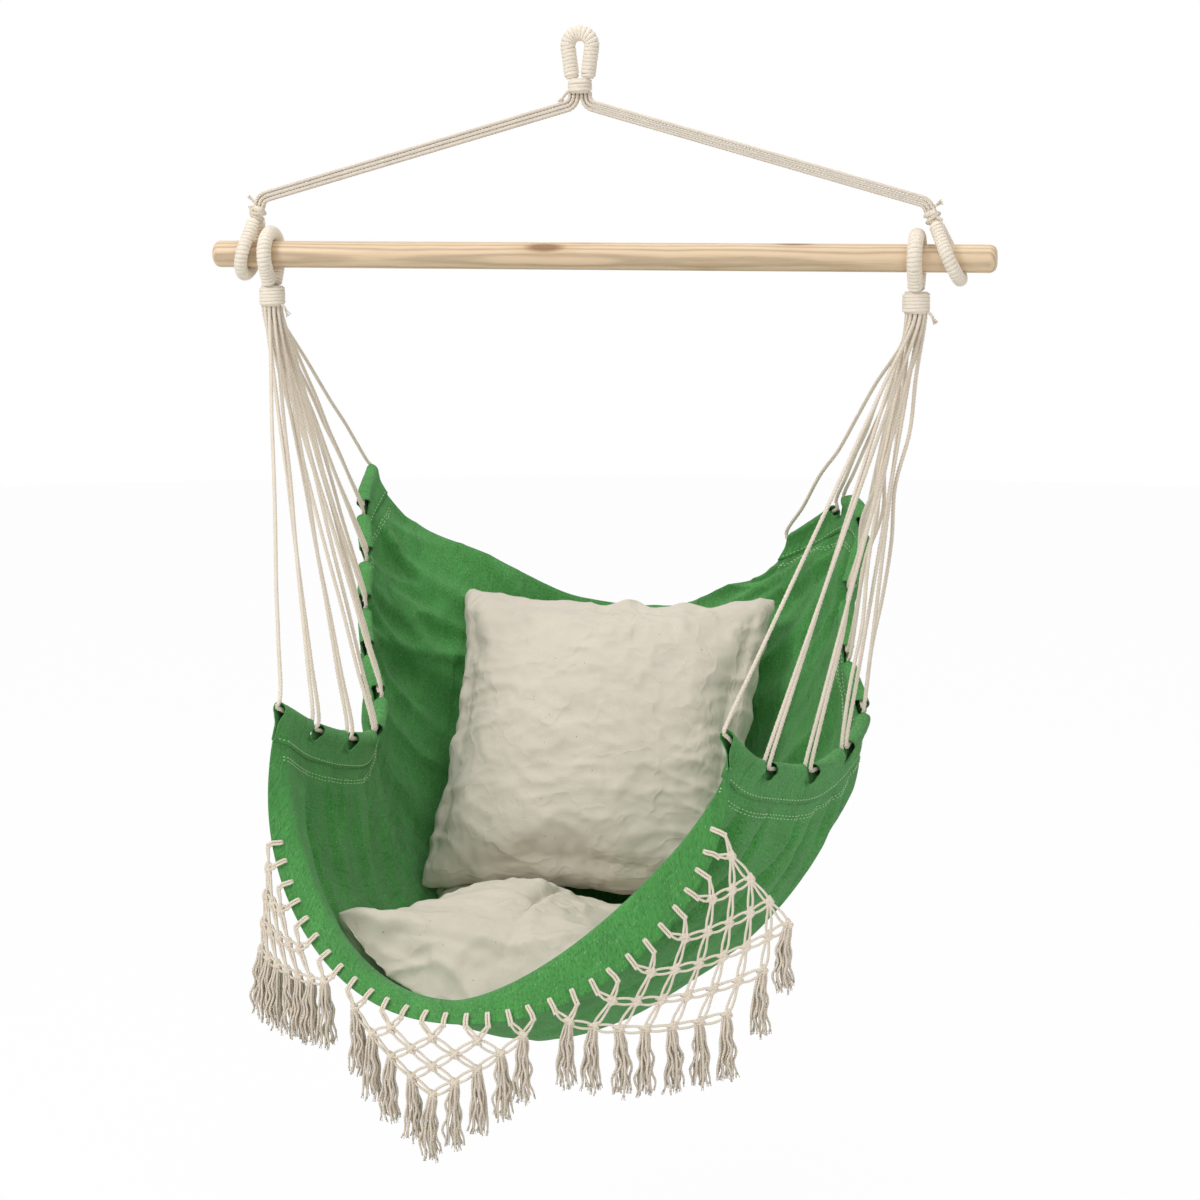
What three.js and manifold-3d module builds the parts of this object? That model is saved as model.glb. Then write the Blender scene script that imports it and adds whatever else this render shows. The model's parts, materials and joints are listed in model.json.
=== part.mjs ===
// Hammock chair: a cloth seat that hangs on two fans of cords from a round wooden bar.
// Millimetres. X runs along the bar, -Y is the chair's front and Z is up.
// The origin is the point where a hook bears on the inside of the hanging eye.

import * as THREE from 'three';
import { mergeVertices } from 'three/addons/utils/BufferGeometryUtils.js';
import Module from 'manifold-3d';

const wasm = await Module();
wasm.setup();

// Shared clearances
const TOUCH = 0.3; // gap between pieces that rest on each other
const OVERRUN = 4; // how far a cutter runs past what it cuts
const SMALLEST_EDGE = 0.03; // shorter edges that a union leaves are drawn together

// Spreader bar
const BAR_LENGTH = 1000;
const BAR_RADIUS = 17;
const BAR_SHIFT = 15; // the bar sits off centre in its loops
const BAR_DROP = 262; // from the hook point down to the bar's axis
const BAR_END_ROUND = 9;
const BAR_SIDES = 20;
const BAR_ROUND_STEPS = 3;

// Cords and strands
const CORD_RADIUS = 2.3;
const CORD_PITCH = 5; // spacing of bridle cords that lie side by side
const CORD_SIDES = 5;
const FAN_PITCH = 5.7; // spacing of the clew cords where they leave their binding
const PLACE_SLANT = -0.01; // cords at one depth in the binding are taken from right to left

// Whipped strands: a core with a cord wound on it
const WHIP_HEIGHT = 2.7; // thickness of the wound cord
const WHIP_GAP = 0.9; // gap between one turn and the next
const WHIP_CREST_SHARE = 0.55; // width of a turn's outside against its base
const END_HALF = 1; // half width of a wound cord where it starts and ends
const END_TAPER_STEPS = 3;
const END_BEND_SHARE = 1.2; // bend at a wound cord's ends against its half width
const CORE_STEPS = 16;

// Hanging eye
const EYE_INNER_RADIUS = 5.5;
const EYE_STRAND_RADIUS = 9.6;
const EYE_LEG_DROP = 44;
const EYE_TURNS = 15;
const EYE_STEPS = 7;
const NECK_RADIUS = 12.4;
const NECK_LENGTH = 18;

// Bridle
const BRIDLE_ROWS = 3;
const BRIDLE_COLUMNS = 2;
const BRIDLE_BEND = 13; // radius of the bundle's bends at its two ends
const BRIDLE_LEAD = 13; // straight stretch that the bends are cut from
const BRIDLE_BEND_STEPS = 3;

// Loops that carry the bar, and the knots above them
const BRIDLE_LOOP_RADIUS = 8.5;
const BRIDLE_LOOP_LEFT = -438;
const BRIDLE_LOOP_RIGHT = 460;
const BRIDLE_LOOP_RISE = 45;
const LEFT_LOOP_TILT = THREE.MathUtils.degToRad(14);
const RIGHT_LOOP_TILT = THREE.MathUtils.degToRad(25);
const KNOT_RADIUS = 11;
const KNOT_LENGTH = 15;
const KNOT_SIDES = 10;
const KNOT_END_SHARE = 0.8; // end radius of a knot against its middle

// Loops that hang from the bar, and the bindings below them
const CLEW_LOOP_RADIUS = 9.5;
const CLEW_LEFT = -408;
const CLEW_RIGHT = 419;
const CLEW_LOOP_DROP = 37;
const CLEW_BINDING_RADIUS = 14.2;
const CLEW_BINDING_LENGTH = 26;

const LOOP_TURNS = 12;
const LOOP_STEPS = 6;
const LOOP_GAP = 0.5; // between a whipped loop and the bar that it bears on
const NECK_TURNS = 4;
const BINDING_TURNS = 5;
const BINDING_STEPS = 8;
const TAIL_LENGTH = 9; // free end of a binding cord

// Seat cloth: its edges and its keel are laid out in shares of these three sizes
const SEAT_HALF_WIDTH = 340;
const SEAT_DEPTH = 750;
const SEAT_DROP = 985; // from the bar's axis to the lowest point of the cloth
const SEAT_ASIDE = 8; // the seat's layout is shifted so that the pillows' mass hangs below the bar
const SEAT_FORWARD = 35;
const SEAT_RISE = 10;
const CLOTH_THICKNESS = 3;
const SEAM_GAP = 0.8; // between the cloth's edge and the foot of a casing
const WALL_BULGE = 24; // the filled pillows push the walls out
const GATHER_DEPTH = 6; // depth of the gathers below the tabs
const FOLD_DEPTH = 9; // depth of the long folds in the back
const GATHER_COUNT = 5;
const FOLD_COUNT = 4;
const FOLD_START_SHARE = 0.6; // where the back's folds begin on the way from the front
const CLOTH_ROWS = 22;
const CLOTH_COLUMNS = 20;
const CLOTH_ROW_EASE = 1.25; // rows lie closer at the front lip
const SECTION_STEPS = 40;
const PROBE_SHARE = 0.01; // step for the cloth's normal

// Side casings: a hemmed tunnel with tabs and cut-outs
const CASING_DEPTH = 40;
const TUNNEL_RADIUS = 9;
const TUNNEL_BORE = 5;
const HEM_THICKNESS = 3.4;
const TAB_COUNT = 9;
const CUT_RADIUS = 15;
const CUT_SIDES = 6;
const BORE_SIDES = 6;

// Clew cords: one through each tab, up again to the same binding
const LEG_ASIDE = 7.5; // from the tab's end to the leg
const LEG_RISE = 9; // height of the bend into the tunnel
const TAB_INSET_SHARE = 0.06; // from a tab's end to the cord's first station inside it
const BINDING_LEAD = 6; // straight stretch below the binding
const SLACK_DEPTH = 6; // sideways wander of the slackest cord
const SLACK_STEPS = 7;
const SLACK_WAVES = 5;
const RIGHT_SLACK_SHARES = [0, 0, 0.6, 0, 0.8, 1, 1, 0, 0.7];

// Fringe: three lappets of net along the front hem, each header a pair of cords
const FRINGE_LEFT_DROP = 165; // along the hem, from the left corner to the first header
const FRINGE_RIGHT_DROP = 112;
const HEADER_COUNT = 30;
const HEADER_LENGTH = 12;
const KNOT_DROP = 17; // height between two rows of knots
const STRAND_WIDTH = 4;
const NET_THICKNESS = 3.6;
const TASSEL_LENGTH = 76;
const TASSEL_TOP_RADIUS = 4;
const TASSEL_END_RADIUS = 8;
const TASSEL_SHARES = [[0, 0], [0.3, 0.5], [1, 1]]; // place along a tassel, and its width
const TASSEL_RIBS = 3;
const TASSEL_GROOVE_SHARE = 0.7;
const TASSEL_CAP = 0.5; // how far a tassel's head covers its knot
const LEFT_SPREAD_SHARE = 0.12; // how far the net leans out where the hem is steep
const RIGHT_SPREAD_SHARE = 0.95;
const FRINGE_STAND = 0.9; // room between the net and the curved cloth

// Pillows
const PILLOW_SIZE = 430;
const BACK_PILLOW_THICKNESS = 132;
const SEAT_PILLOW_THICKNESS = 180;
const PILLOW_SEAM_THICKNESS = 3;
const PILLOW_DRAW_SHARE = 0.07; // how far the sides draw in between the corners
const PILLOW_CROWN_SHARE = 0.42; // power of the crown: lower is fuller at the edges
const PILLOW_STEPS = 11;
const BACK_PILLOW_LEAN = THREE.MathUtils.degToRad(33);
const BACK_PILLOW_ASIDE = -4;
const BACK_PILLOW_BACK = 115;
const BACK_PILLOW_FALL = 905; // from the hook point down to the pillow's middle
const SEAT_PILLOW_ASIDE = -30; // along the cloth, from the keel to the pillow's middle
const SEAT_PILLOW_FRONT = 100; // along the keel, from the front hem to the pillow's edge
const SEAT_PILLOW_LIFT = 3.3; // gap between the pillow and the cloth below it

// Colours
const COTTON = { color: 0xe6dfcf, roughness: 0.95, metalness: 0 };
const GREEN_CLOTH = { color: 0x2f9a3d, roughness: 0.9, metalness: 0 };
const PILLOW_CLOTH = { color: 0xd9cfb8, roughness: 0.95, metalness: 0 };
const PALE_WOOD = { color: 0xe2bf8d, roughness: 0.55, metalness: 0 };

const X_AXIS = new THREE.Vector3(1, 0, 0);
const Y_AXIS = new THREE.Vector3(0, 1, 0);
const Z_AXIS = new THREE.Vector3(0, 0, 1);
const chair = new THREE.Group();

function addPiece(name, geometry, look) {
  const mesh = new THREE.Mesh(geometry, new THREE.MeshStandardMaterial(look));
  mesh.name = name;
  chair.add(mesh);
  return mesh;
}

// Signed volume of a closed mesh: it tells whether the faces point out.
function signedVolume(points, triangles) {
  let volume = 0;
  for (let i = 0; i < triangles.length; i += 3) {
    const [a, b, c] = [points[triangles[i]], points[triangles[i + 1]], points[triangles[i + 2]]];
    volume += a.dot(new THREE.Vector3().crossVectors(b, c));
  }
  return volume / 6;
}

function closedGeometry(points, triangles) {
  const faces = signedVolume(points, triangles) < 0 ? [...triangles].reverse() : triangles;
  const geometry = new THREE.BufferGeometry().setFromPoints(points);
  geometry.setIndex(faces);
  return geometry;
}

function middleOf(ring) {
  const sum = ring.reduce((total, point) => total.add(point), new THREE.Vector3());
  return sum.divideScalar(ring.length);
}

// A skin over rings of points, with a fan over each end.
function skinOver(rings) {
  const count = rings[0].length;
  const points = [...rings.flat(), middleOf(rings[0]), middleOf(rings.at(-1))];
  const triangles = [];
  for (let r = 0; r + 1 < rings.length; r += 1) {
    for (let i = 0; i < count; i += 1) {
      const [a, b] = [r * count + i, r * count + ((i + 1) % count)];
      triangles.push(a, b, b + count, a, b + count, a + count);
    }
  }
  const last = (rings.length - 1) * count;
  for (let i = 0; i < count; i += 1) {
    const next = (i + 1) % count;
    triangles.push(points.length - 2, next, i);
    triangles.push(points.length - 1, last + i, last + next);
  }
  return closedGeometry(points, triangles);
}

function mergedShape(geometry) {
  const bare = geometry.clone();
  bare.deleteAttribute('normal');
  bare.deleteAttribute('uv');
  return mergeVertices(bare);
}

function solidOf(geometry) {
  const merged = mergedShape(geometry);
  const vertProperties = Float32Array.from(merged.attributes.position.array);
  const triVerts = Uint32Array.from(merged.index.array);
  return new wasm.Manifold(new wasm.Mesh({ numProp: 3, vertProperties, triVerts }));
}

function geometryOf(solid) {
  const mesh = solid.getMesh();
  const geometry = new THREE.BufferGeometry();
  geometry.setAttribute('position', new THREE.BufferAttribute(mesh.vertProperties, 3));
  geometry.setIndex(new THREE.BufferAttribute(mesh.triVerts, 1));
  return geometry;
}

// A curve through given stations: its steps fall on the stations.
class StationCurve extends THREE.Curve {
  constructor(stations) {
    super();
    this.stations = stations;
    this.smooth = new THREE.CatmullRomCurve3(stations, false, 'centripetal');
  }

  getPointAt(u, target = new THREE.Vector3()) {
    return this.smooth.getPoint(u, target);
  }

  getTangentAt(u, target = new THREE.Vector3()) {
    return this.smooth.getTangent(u, target);
  }
}

function cordGeometry(stations, radius, sides) {
  const outline = [];
  for (let i = 0; i < sides; i += 1) {
    const angle = (2 * Math.PI * i) / sides;
    outline.push(new THREE.Vector2(radius * Math.cos(angle), radius * Math.sin(angle)));
  }
  return new THREE.ExtrudeGeometry(new THREE.Shape(outline), {
    steps: stations.length - 1,
    extrudePath: new StationCurve(stations),
  });
}

// Half width of the loop's leg ends, which lie side by side.
function legHalf(strandRadius) {
  return strandRadius + TOUCH;
}

// A teardrop in a plane: two straight legs and the arc between them.
// across and along are the plane's axes, and the legs end at minus reach along the second.
class Teardrop {
  constructor(centre, across, along, arcRadius, half, reach) {
    Object.assign(this, { centre, across, along, arcRadius });
    const legEnd = new THREE.Vector2(half, -reach);
    const spread = Math.acos(arcRadius / legEnd.length());
    this.startAngle = Math.atan2(-reach, half) + spread;
    this.arcLength = arcRadius * (Math.PI - 2 * this.startAngle);
    this.legLength = Math.sqrt(legEnd.lengthSq() - arcRadius ** 2);
    this.length = this.arcLength + 2 * this.legLength;
    this.legEnd = legEnd;
  }

  // Position, direction and inward normal at a distance from the right leg's end
  at(distance) {
    const past = distance - this.legLength;
    const overArc = THREE.MathUtils.clamp(past, 0, this.arcLength);
    const angle = this.startAngle + overArc / this.arcRadius;
    const flat = new THREE.Vector2(Math.cos(angle), Math.sin(angle)).multiplyScalar(this.arcRadius);
    const heading = new THREE.Vector2(-Math.sin(angle), Math.cos(angle));
    flat.addScaledVector(heading, past - overArc);
    return {
      point: this.lift(flat).add(this.centre),
      heading: this.lift(heading),
      inward: this.lift(new THREE.Vector2(-Math.cos(angle), -Math.sin(angle))),
    };
  }

  lift(flat) {
    return this.across.clone().multiplyScalar(flat.x).addScaledVector(this.along, flat.y);
  }
}

// A straight run with the same manner of stations as a teardrop.
class StraightRun {
  constructor(start, heading, inward, length) {
    Object.assign(this, { start, heading, inward, length });
  }

  at(distance) {
    return {
      point: this.start.clone().addScaledVector(this.heading, distance),
      heading: this.heading,
      inward: this.inward,
    };
  }
}

function ringAt(station, radius, sides, turn = 0) {
  const side = new THREE.Vector3().crossVectors(station.heading, station.inward);
  const ring = [];
  for (let i = 0; i < sides; i += 1) {
    const angle = turn + (2 * Math.PI * i) / sides;
    const point = station.point.clone();
    point.addScaledVector(station.inward, radius * Math.cos(angle));
    ring.push(point.addScaledVector(side, radius * Math.sin(angle)));
  }
  return ring;
}

function coreGeometry(path, radius, sides, steps) {
  const rings = [];
  for (let i = 0; i <= steps; i += 1) {
    rings.push(ringAt(path.at((path.length * i) / steps), radius, sides));
  }
  return skinOver(rings);
}

// The cord wound on a core: one unbroken tube. Each section has its width along the core and its
// height outward, and is narrower where the core's bend crowds the turns. The ends run straight
// along the core to the faces that they meet, or the last one leaves the core as a free tail.
function windingGeometry(name, path, inner, turns, steps, tail = 0) {
  const count = turns * steps;
  const margin = TOUCH + WHIP_HEIGHT + END_HALF;
  const lastMargin = tail > 0 ? TOUCH + END_HALF : margin;
  const span = path.length - margin - lastMargin;
  const pitch = span / turns;
  const sections = [];
  for (let i = 0; i <= count; i += 1) {
    const distance = margin + (span * i) / count;
    const angle = (2 * Math.PI * i) / steps;
    const frame = aroundCore(path, distance, angle);
    const crowded = (turnSpacing(path, distance, angle, inner, pitch) - WHIP_GAP) / 2;
    const taper = Math.min(1, i / END_TAPER_STEPS, (count - i) / END_TAPER_STEPS);
    const half = THREE.MathUtils.lerp(END_HALF, crowded, taper);
    sections.push(sectionAt(frame, inner, frame.heading, half));
  }
  printLeastGap(name, sections, steps);
  const lead = (END_HALF * END_BEND_SHARE) / inner;
  const first = aroundCore(path, margin, -lead);
  const start = aroundCore(path, TOUCH, -lead);
  const lastAngle = 2 * Math.PI * turns;
  const rings = [endSection(start, inner), cornerSection(first, inner), ...sections];
  if (tail > 0) {
    const leaving = aroundCore(path, margin + span, lastAngle);
    leaving.point.addScaledVector(leaving.around, tail);
    rings.push(sectionAt(leaving, inner, leaving.heading, END_HALF));
    return skinOver(rings);
  }
  rings.push(cornerSection(aroundCore(path, margin + span, lastAngle + lead), inner));
  rings.push(endSection(aroundCore(path, path.length - TOUCH, lastAngle + lead), inner));
  return skinOver(rings);
}

// The frame of a wound cord's section: out from the core, around it and along it
function aroundCore(path, distance, angle) {
  const station = path.at(distance);
  const side = new THREE.Vector3().crossVectors(station.heading, station.inward);
  const out = station.inward.clone().multiplyScalar(Math.cos(angle));
  out.addScaledVector(side, Math.sin(angle));
  const around = new THREE.Vector3().crossVectors(station.heading, out);
  return { ...station, out, around };
}

// Room along the core's surface to the nearer of the turns before and behind
function turnSpacing(path, distance, angle, inner, pitch) {
  const places = [-1, 0, 1].map((turn) => {
    const { point, out } = aroundCore(path, distance + turn * pitch, angle);
    return point.addScaledVector(out, inner);
  });
  return Math.min(places[0].distanceTo(places[1]), places[1].distanceTo(places[2]));
}

function sectionAt(frame, inner, width, half) {
  const crest = half * WHIP_CREST_SHARE;
  const corners = [[inner, -half], [inner + WHIP_HEIGHT, -crest]];
  corners.push([inner + WHIP_HEIGHT, crest], [inner, half]);
  return corners.map(([height, reach]) => (
    frame.point.clone().addScaledVector(frame.out, height).addScaledVector(width, reach)
  ));
}

function cornerSection(frame, inner) {
  return sectionAt(frame, inner, frame.heading.clone().sub(frame.around), END_HALF);
}

function endSection(frame, inner) {
  return sectionAt(frame, inner, frame.around.clone().negate(), END_HALF);
}

// Least distance from any section to the section one turn on, measured on their corners
function printLeastGap(name, sections, steps) {
  let least = Infinity;
  for (let i = 0; i + steps < sections.length; i += 1) {
    for (const here of sections[i]) {
      for (const next of sections[i + steps]) {
        least = Math.min(least, here.distanceTo(next));
      }
    }
  }
  console.log(`${name}: least gap from turn to turn ${least.toFixed(2)} mm`);
}

// A whipped loop: its core and the cord wound on it. Returns how far its leaning legs reach
// past their own ends, with the gap to the piece below.
function addWhippedLoop(name, path, strandRadius, turns, steps) {
  const coreRadius = coreRadiusOf(path, strandRadius, turns);
  addPiece(name, coreGeometry(path, coreRadius, steps, CORE_STEPS), COTTON);
  const inner = strandRadius - WHIP_HEIGHT;
  const whipping = windingGeometry(`${name}_whipping`, path, inner, turns, steps);
  addPiece(`${name}_whipping`, whipping, COTTON);
  return coreRadius * Math.sin(Math.abs(path.startAngle)) + TOUCH;
}

// Both the core and its turns are straight between their stations, so in the bend the core
// keeps clear of the turns by the rise of the two chords.
function coreRadiusOf(path, strandRadius, turns) {
  const inner = strandRadius - WHIP_HEIGHT;
  const turnReach = path.arcRadius - inner;
  const spacing = 2 * turnReach * Math.sin(path.length / (2 * turns * path.arcRadius));
  const turnRise = Math.hypot(turnReach, (spacing - WHIP_GAP) / 2) - turnReach;
  const coreRise = path.arcRadius * (1 - Math.cos(path.length / (2 * CORE_STEPS * path.arcRadius)));
  return inner - TOUCH - turnRise - coreRise;
}

// A plug of gathered strands, with the cord bound round it
function addBinding(name, start, heading, radius, length, turns) {
  const inward = Math.abs(heading.z) > Math.SQRT1_2 ? Y_AXIS.clone() : Z_AXIS.clone();
  inward.addScaledVector(heading, -inward.dot(heading)).normalize();
  const run = new StraightRun(start, heading, inward, length);
  addPiece(`${name}_strands`, coreGeometry(run, radius, BINDING_STEPS, 1), COTTON);
  const inner = radius + TOUCH;
  const wrap = windingGeometry(name, run, inner, turns, BINDING_STEPS, TAIL_LENGTH);
  addPiece(name, wrap, COTTON);
}

// Hanging eye and neck
const eyePath = new Teardrop(
  new THREE.Vector3(0, 0, -EYE_INNER_RADIUS), X_AXIS, Z_AXIS,
  EYE_INNER_RADIUS + EYE_STRAND_RADIUS, legHalf(EYE_STRAND_RADIUS), EYE_LEG_DROP - EYE_INNER_RADIUS,
);
const eyeOverhang = addWhippedLoop('hanging_eye', eyePath, EYE_STRAND_RADIUS, EYE_TURNS, EYE_STEPS);
const neckTop = -EYE_LEG_DROP - eyeOverhang;
const neckBottom = neckTop - NECK_LENGTH;
const DOWN = new THREE.Vector3(0, 0, -1);
const neckStart = new THREE.Vector3(0, 0, neckTop);
addBinding('neck_binding', neckStart, DOWN, NECK_RADIUS, NECK_LENGTH, NECK_TURNS);

// Spreader bar
function barProfile() {
  const points = [new THREE.Vector2(0, 0)];
  for (let i = 0; i <= BAR_ROUND_STEPS; i += 1) {
    const angle = (Math.PI / 2) * (i / BAR_ROUND_STEPS);
    const radius = BAR_RADIUS - BAR_END_ROUND * (1 - Math.sin(angle));
    points.push(new THREE.Vector2(radius, BAR_END_ROUND * (1 - Math.cos(angle))));
  }
  const mirrored = points.map((point) => new THREE.Vector2(point.x, BAR_LENGTH - point.y));
  return [...points, ...mirrored.reverse()];
}
const bar = addPiece('spreader_bar', new THREE.LatheGeometry(barProfile(), BAR_SIDES), PALE_WOOD);
bar.rotation.z = -Math.PI / 2;
bar.position.set(BAR_SHIFT - BAR_LENGTH / 2, 0, -BAR_DROP);

// Bridle loops, the knots above them and the bridle cords
function barrelProfile(radius, length) {
  return [[0, 0], [KNOT_END_SHARE, 0], [1, 1 / 2], [KNOT_END_SHARE, 1], [0, 1]]
    .map(([wide, far]) => new THREE.Vector2(wide * radius, far * length));
}

// Stations of a run with rounded corners: the straight ends, and steps round each bend
function roundedRoute(corners, radius) {
  const stations = [{ point: corners[0], heading: corners[1].clone().sub(corners[0]).normalize() }];
  for (let i = 1; i + 1 < corners.length; i += 1) {
    const before = corners[i].clone().sub(corners[i - 1]).normalize();
    const after = corners[i + 1].clone().sub(corners[i]).normalize();
    const turn = before.angleTo(after);
    const start = corners[i].clone().addScaledVector(before, -radius * Math.tan(turn / 2));
    const toward = after.clone().addScaledVector(before, -after.dot(before)).normalize();
    for (let k = 0; k <= BRIDLE_BEND_STEPS; k += 1) {
      const angle = (turn * k) / BRIDLE_BEND_STEPS;
      const point = start.clone().addScaledVector(before, radius * Math.sin(angle));
      point.addScaledVector(toward, radius * (1 - Math.cos(angle)));
      const heading = before.clone().multiplyScalar(Math.cos(angle));
      stations.push({ point, heading: heading.addScaledVector(toward, Math.sin(angle)) });
    }
  }
  const last = corners.length - 1;
  const heading = corners[last].clone().sub(corners[last - 1]).normalize();
  return [...stations, { point: corners[last], heading }];
}

function addBridleSide(side, x, tilt) {
  const name = side < 0 ? 'left' : 'right';
  const rise = new THREE.Vector3(-side * Math.sin(tilt), 0, Math.cos(tilt));
  const arcRadius = (BAR_RADIUS + TOUCH) / Math.cos(tilt) + BRIDLE_LOOP_RADIUS;
  const centre = new THREE.Vector3(x, 0, -BAR_DROP);
  const fall = rise.clone().negate();
  const half = legHalf(BRIDLE_LOOP_RADIUS);
  const path = new Teardrop(centre, Y_AXIS, fall, arcRadius, half, BRIDLE_LOOP_RISE);
  const loopName = `bridle_loop_${name}`;
  addWhippedLoop(loopName, path, BRIDLE_LOOP_RADIUS, LOOP_TURNS, LOOP_STEPS);

  // The knot's narrow end stands between the leaning ends of the legs.
  const knotFoot = BRIDLE_LOOP_RISE + 2 * TOUCH;
  const barrel = new THREE.LatheGeometry(barrelProfile(KNOT_RADIUS, KNOT_LENGTH), KNOT_SIDES);
  const knot = addPiece(`bridle_knot_${name}`, barrel, COTTON);
  knot.quaternion.setFromUnitVectors(Y_AXIS, rise);
  knot.position.copy(centre).addScaledVector(rise, knotFoot);

  const middle = (BRIDLE_ROWS * CORD_PITCH) / 2;
  const top = new THREE.Vector3(side * middle, 0, neckBottom - TOUCH);
  const foot = centre.clone().addScaledVector(rise, knotFoot + KNOT_LENGTH + TOUCH);
  const corners = [top, top.clone().addScaledVector(DOWN, BRIDLE_LEAD)];
  corners.push(foot.clone().addScaledVector(rise, BRIDLE_LEAD), foot);
  const route = roundedRoute(corners, BRIDLE_BEND);
  for (let row = 0; row < BRIDLE_ROWS; row += 1) {
    for (let column = 0; column < BRIDLE_COLUMNS; column += 1) {
      const aside = (row - (BRIDLE_ROWS - 1) / 2) * CORD_PITCH;
      const back = (column - (BRIDLE_COLUMNS - 1) / 2) * CORD_PITCH;
      const stations = route.map(({ point, heading }) => {
        const across = new THREE.Vector3().crossVectors(heading, Y_AXIS);
        return point.clone().addScaledVector(across, aside).addScaledVector(Y_AXIS, back);
      });
      const number = row * BRIDLE_COLUMNS + column + 1;
      const cord = cordGeometry(stations, CORD_RADIUS, CORD_SIDES);
      addPiece(`bridle_cord_${name}_${number}`, cord, COTTON);
    }
  }
}
addBridleSide(-1, BRIDLE_LOOP_LEFT, LEFT_LOOP_TILT);
addBridleSide(1, BRIDLE_LOOP_RIGHT, RIGHT_LOOP_TILT);

// Guide lines of the seat, front to back, as shares of half width, depth and drop
const LEFT_EDGE_SHARES = [
  [-0.885, -0.36, 0.546], [-0.84, -0.253, 0.587], [-0.79, -0.147, 0.615], [-0.776, -0.053, 0.625],
  [-0.81, 0.04, 0.597], [-0.926, 0.133, 0.544], [-1.01, 0.227, 0.485], [-1.065, 0.313, 0.424],
  [-1.14, 0.4, 0.361], [-1.153, 0.47, 0.326],
];
const RIGHT_EDGE_SHARES = [
  [0.706, -0.36, 0.552], [0.77, -0.3, 0.592], [0.84, -0.22, 0.613], [0.935, -0.12, 0.627],
  [1.01, -0.013, 0.613], [1.035, 0.08, 0.587], [0.947, 0.173, 0.531], [0.918, 0.26, 0.45],
  [0.95, 0.333, 0.37], [0.88, 0.4, 0.345], [0.76, 0.45, 0.372], [0.62, 0.475, 0.404],
];
const KEEL_SHARES = [
  [-0.18, -0.512, 0.885], [-0.19, -0.475, 0.867], [-0.13, -0.387, 0.913], [-0.06, -0.267, 0.962],
  [-0.015, -0.133, 0.99], [0, 0, 0.985], [0, 0.12, 0.947], [-0.015, 0.227, 0.856],
  [-0.03, 0.32, 0.739], [-0.035, 0.4, 0.632], [-0.044, 0.464, 0.551], [-0.053, 0.493, 0.514],
];
// The front lip turns over along the cloth's first row.
const CREST_SHARE = (1 / CLOTH_ROWS) ** CLOTH_ROW_EASE;
// How full the section is from edge to keel, at shares of the way from front to back
const LEFT_FULLNESS_SHARES = [[0, 2.5], [CREST_SHARE, 2.25], [0.12, 2.3], [0.7, 2.1], [1, 1.35]];
const RIGHT_FULLNESS_SHARES = [[0, 2.15], [CREST_SHARE, 1.4], [0.2, 1.55], [0.5, 1.65], [1, 1.7]];
// How much of the bulge each wall has, at shares of the way from front to back
const LEFT_BULGE_SHARES = [[0, 1], [CREST_SHARE, 0], [0.12, 1], [1, 0.5]];
const RIGHT_BULGE_SHARES = [[0, 0.5], [CREST_SHARE, 0], [0.12, 0.3], [1, 0]];

function guideLine(shares) {
  const shift = new THREE.Vector3(SEAT_ASIDE, -SEAT_FORWARD, SEAT_RISE - BAR_DROP);
  const points = shares.map(([x, y, z]) => (
    new THREE.Vector3(x * SEAT_HALF_WIDTH, y * SEAT_DEPTH, -z * SEAT_DROP).add(shift)
  ));
  return new THREE.CatmullRomCurve3(points, false, 'centripetal');
}
const leftEdge = guideLine(LEFT_EDGE_SHARES);
const rightEdge = guideLine(RIGHT_EDGE_SHARES);
const keel = guideLine(KEEL_SHARES);

function readShares(shares, at) {
  const next = Math.max(1, shares.findIndex(([place]) => place >= at));
  const [[from, low], [to, high]] = [shares[next - 1], shares[next]];
  return THREE.MathUtils.mapLinear(at, from, to, low, high);
}

// One half of the seat's section, from its edge down to the keel, walked by distance
function halfSection(side, share) {
  const edge = (side < 0 ? leftEdge : rightEdge).getPointAt(share);
  const low = keel.getPointAt(share);
  const fullness = readShares(side < 0 ? LEFT_FULLNESS_SHARES : RIGHT_FULLNESS_SHARES, share);
  const bulgeShare = readShares(side < 0 ? LEFT_BULGE_SHARES : RIGHT_BULGE_SHARES, share);
  const bulge = side * WALL_BULGE * bulgeShare;
  const points = [];
  for (let i = 0; i <= SECTION_STEPS; i += 1) {
    const angle = (Math.PI / 2) * (i / SECTION_STEPS);
    const out = Math.cos(angle) ** (2 / fullness);
    const fall = Math.sin(angle) ** (2 / fullness);
    const x = THREE.MathUtils.lerp(low.x, edge.x, out) + bulge * 4 * fall * (1 - fall);
    const y = THREE.MathUtils.lerp(low.y, edge.y, out * out);
    points.push(new THREE.Vector3(x, y, THREE.MathUtils.lerp(edge.z, low.z, fall)));
  }
  const reaches = [0];
  points.slice(1).forEach((point, i) => reaches.push(reaches[i] + point.distanceTo(points[i])));
  return { points, reaches, length: reaches[SECTION_STEPS] };
}

function walkSection(section, distance) {
  const { points, reaches } = section;
  const next = Math.max(1, reaches.findIndex((reach) => reach >= distance));
  const i = distance > section.length ? SECTION_STEPS : next;
  const part = (distance - reaches[i - 1]) / (reaches[i] - reaches[i - 1]);
  return points[i - 1].clone().lerp(points[i], part);
}

const sectionCache = new Map();
function sectionAtShare(side, share) {
  const key = `${side} ${share}`;
  if (!sectionCache.has(key)) {
    sectionCache.set(key, halfSection(side, share));
  }
  return sectionCache.get(key);
}

// A point of the cloth's middle: across runs from -1 at the left edge to 1 at the right edge.
function clothPoint(across, share) {
  const side = across < 0 ? -1 : 1;
  const section = sectionAtShare(side, share);
  return walkSection(section, section.length * (1 - Math.abs(across)));
}

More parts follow.
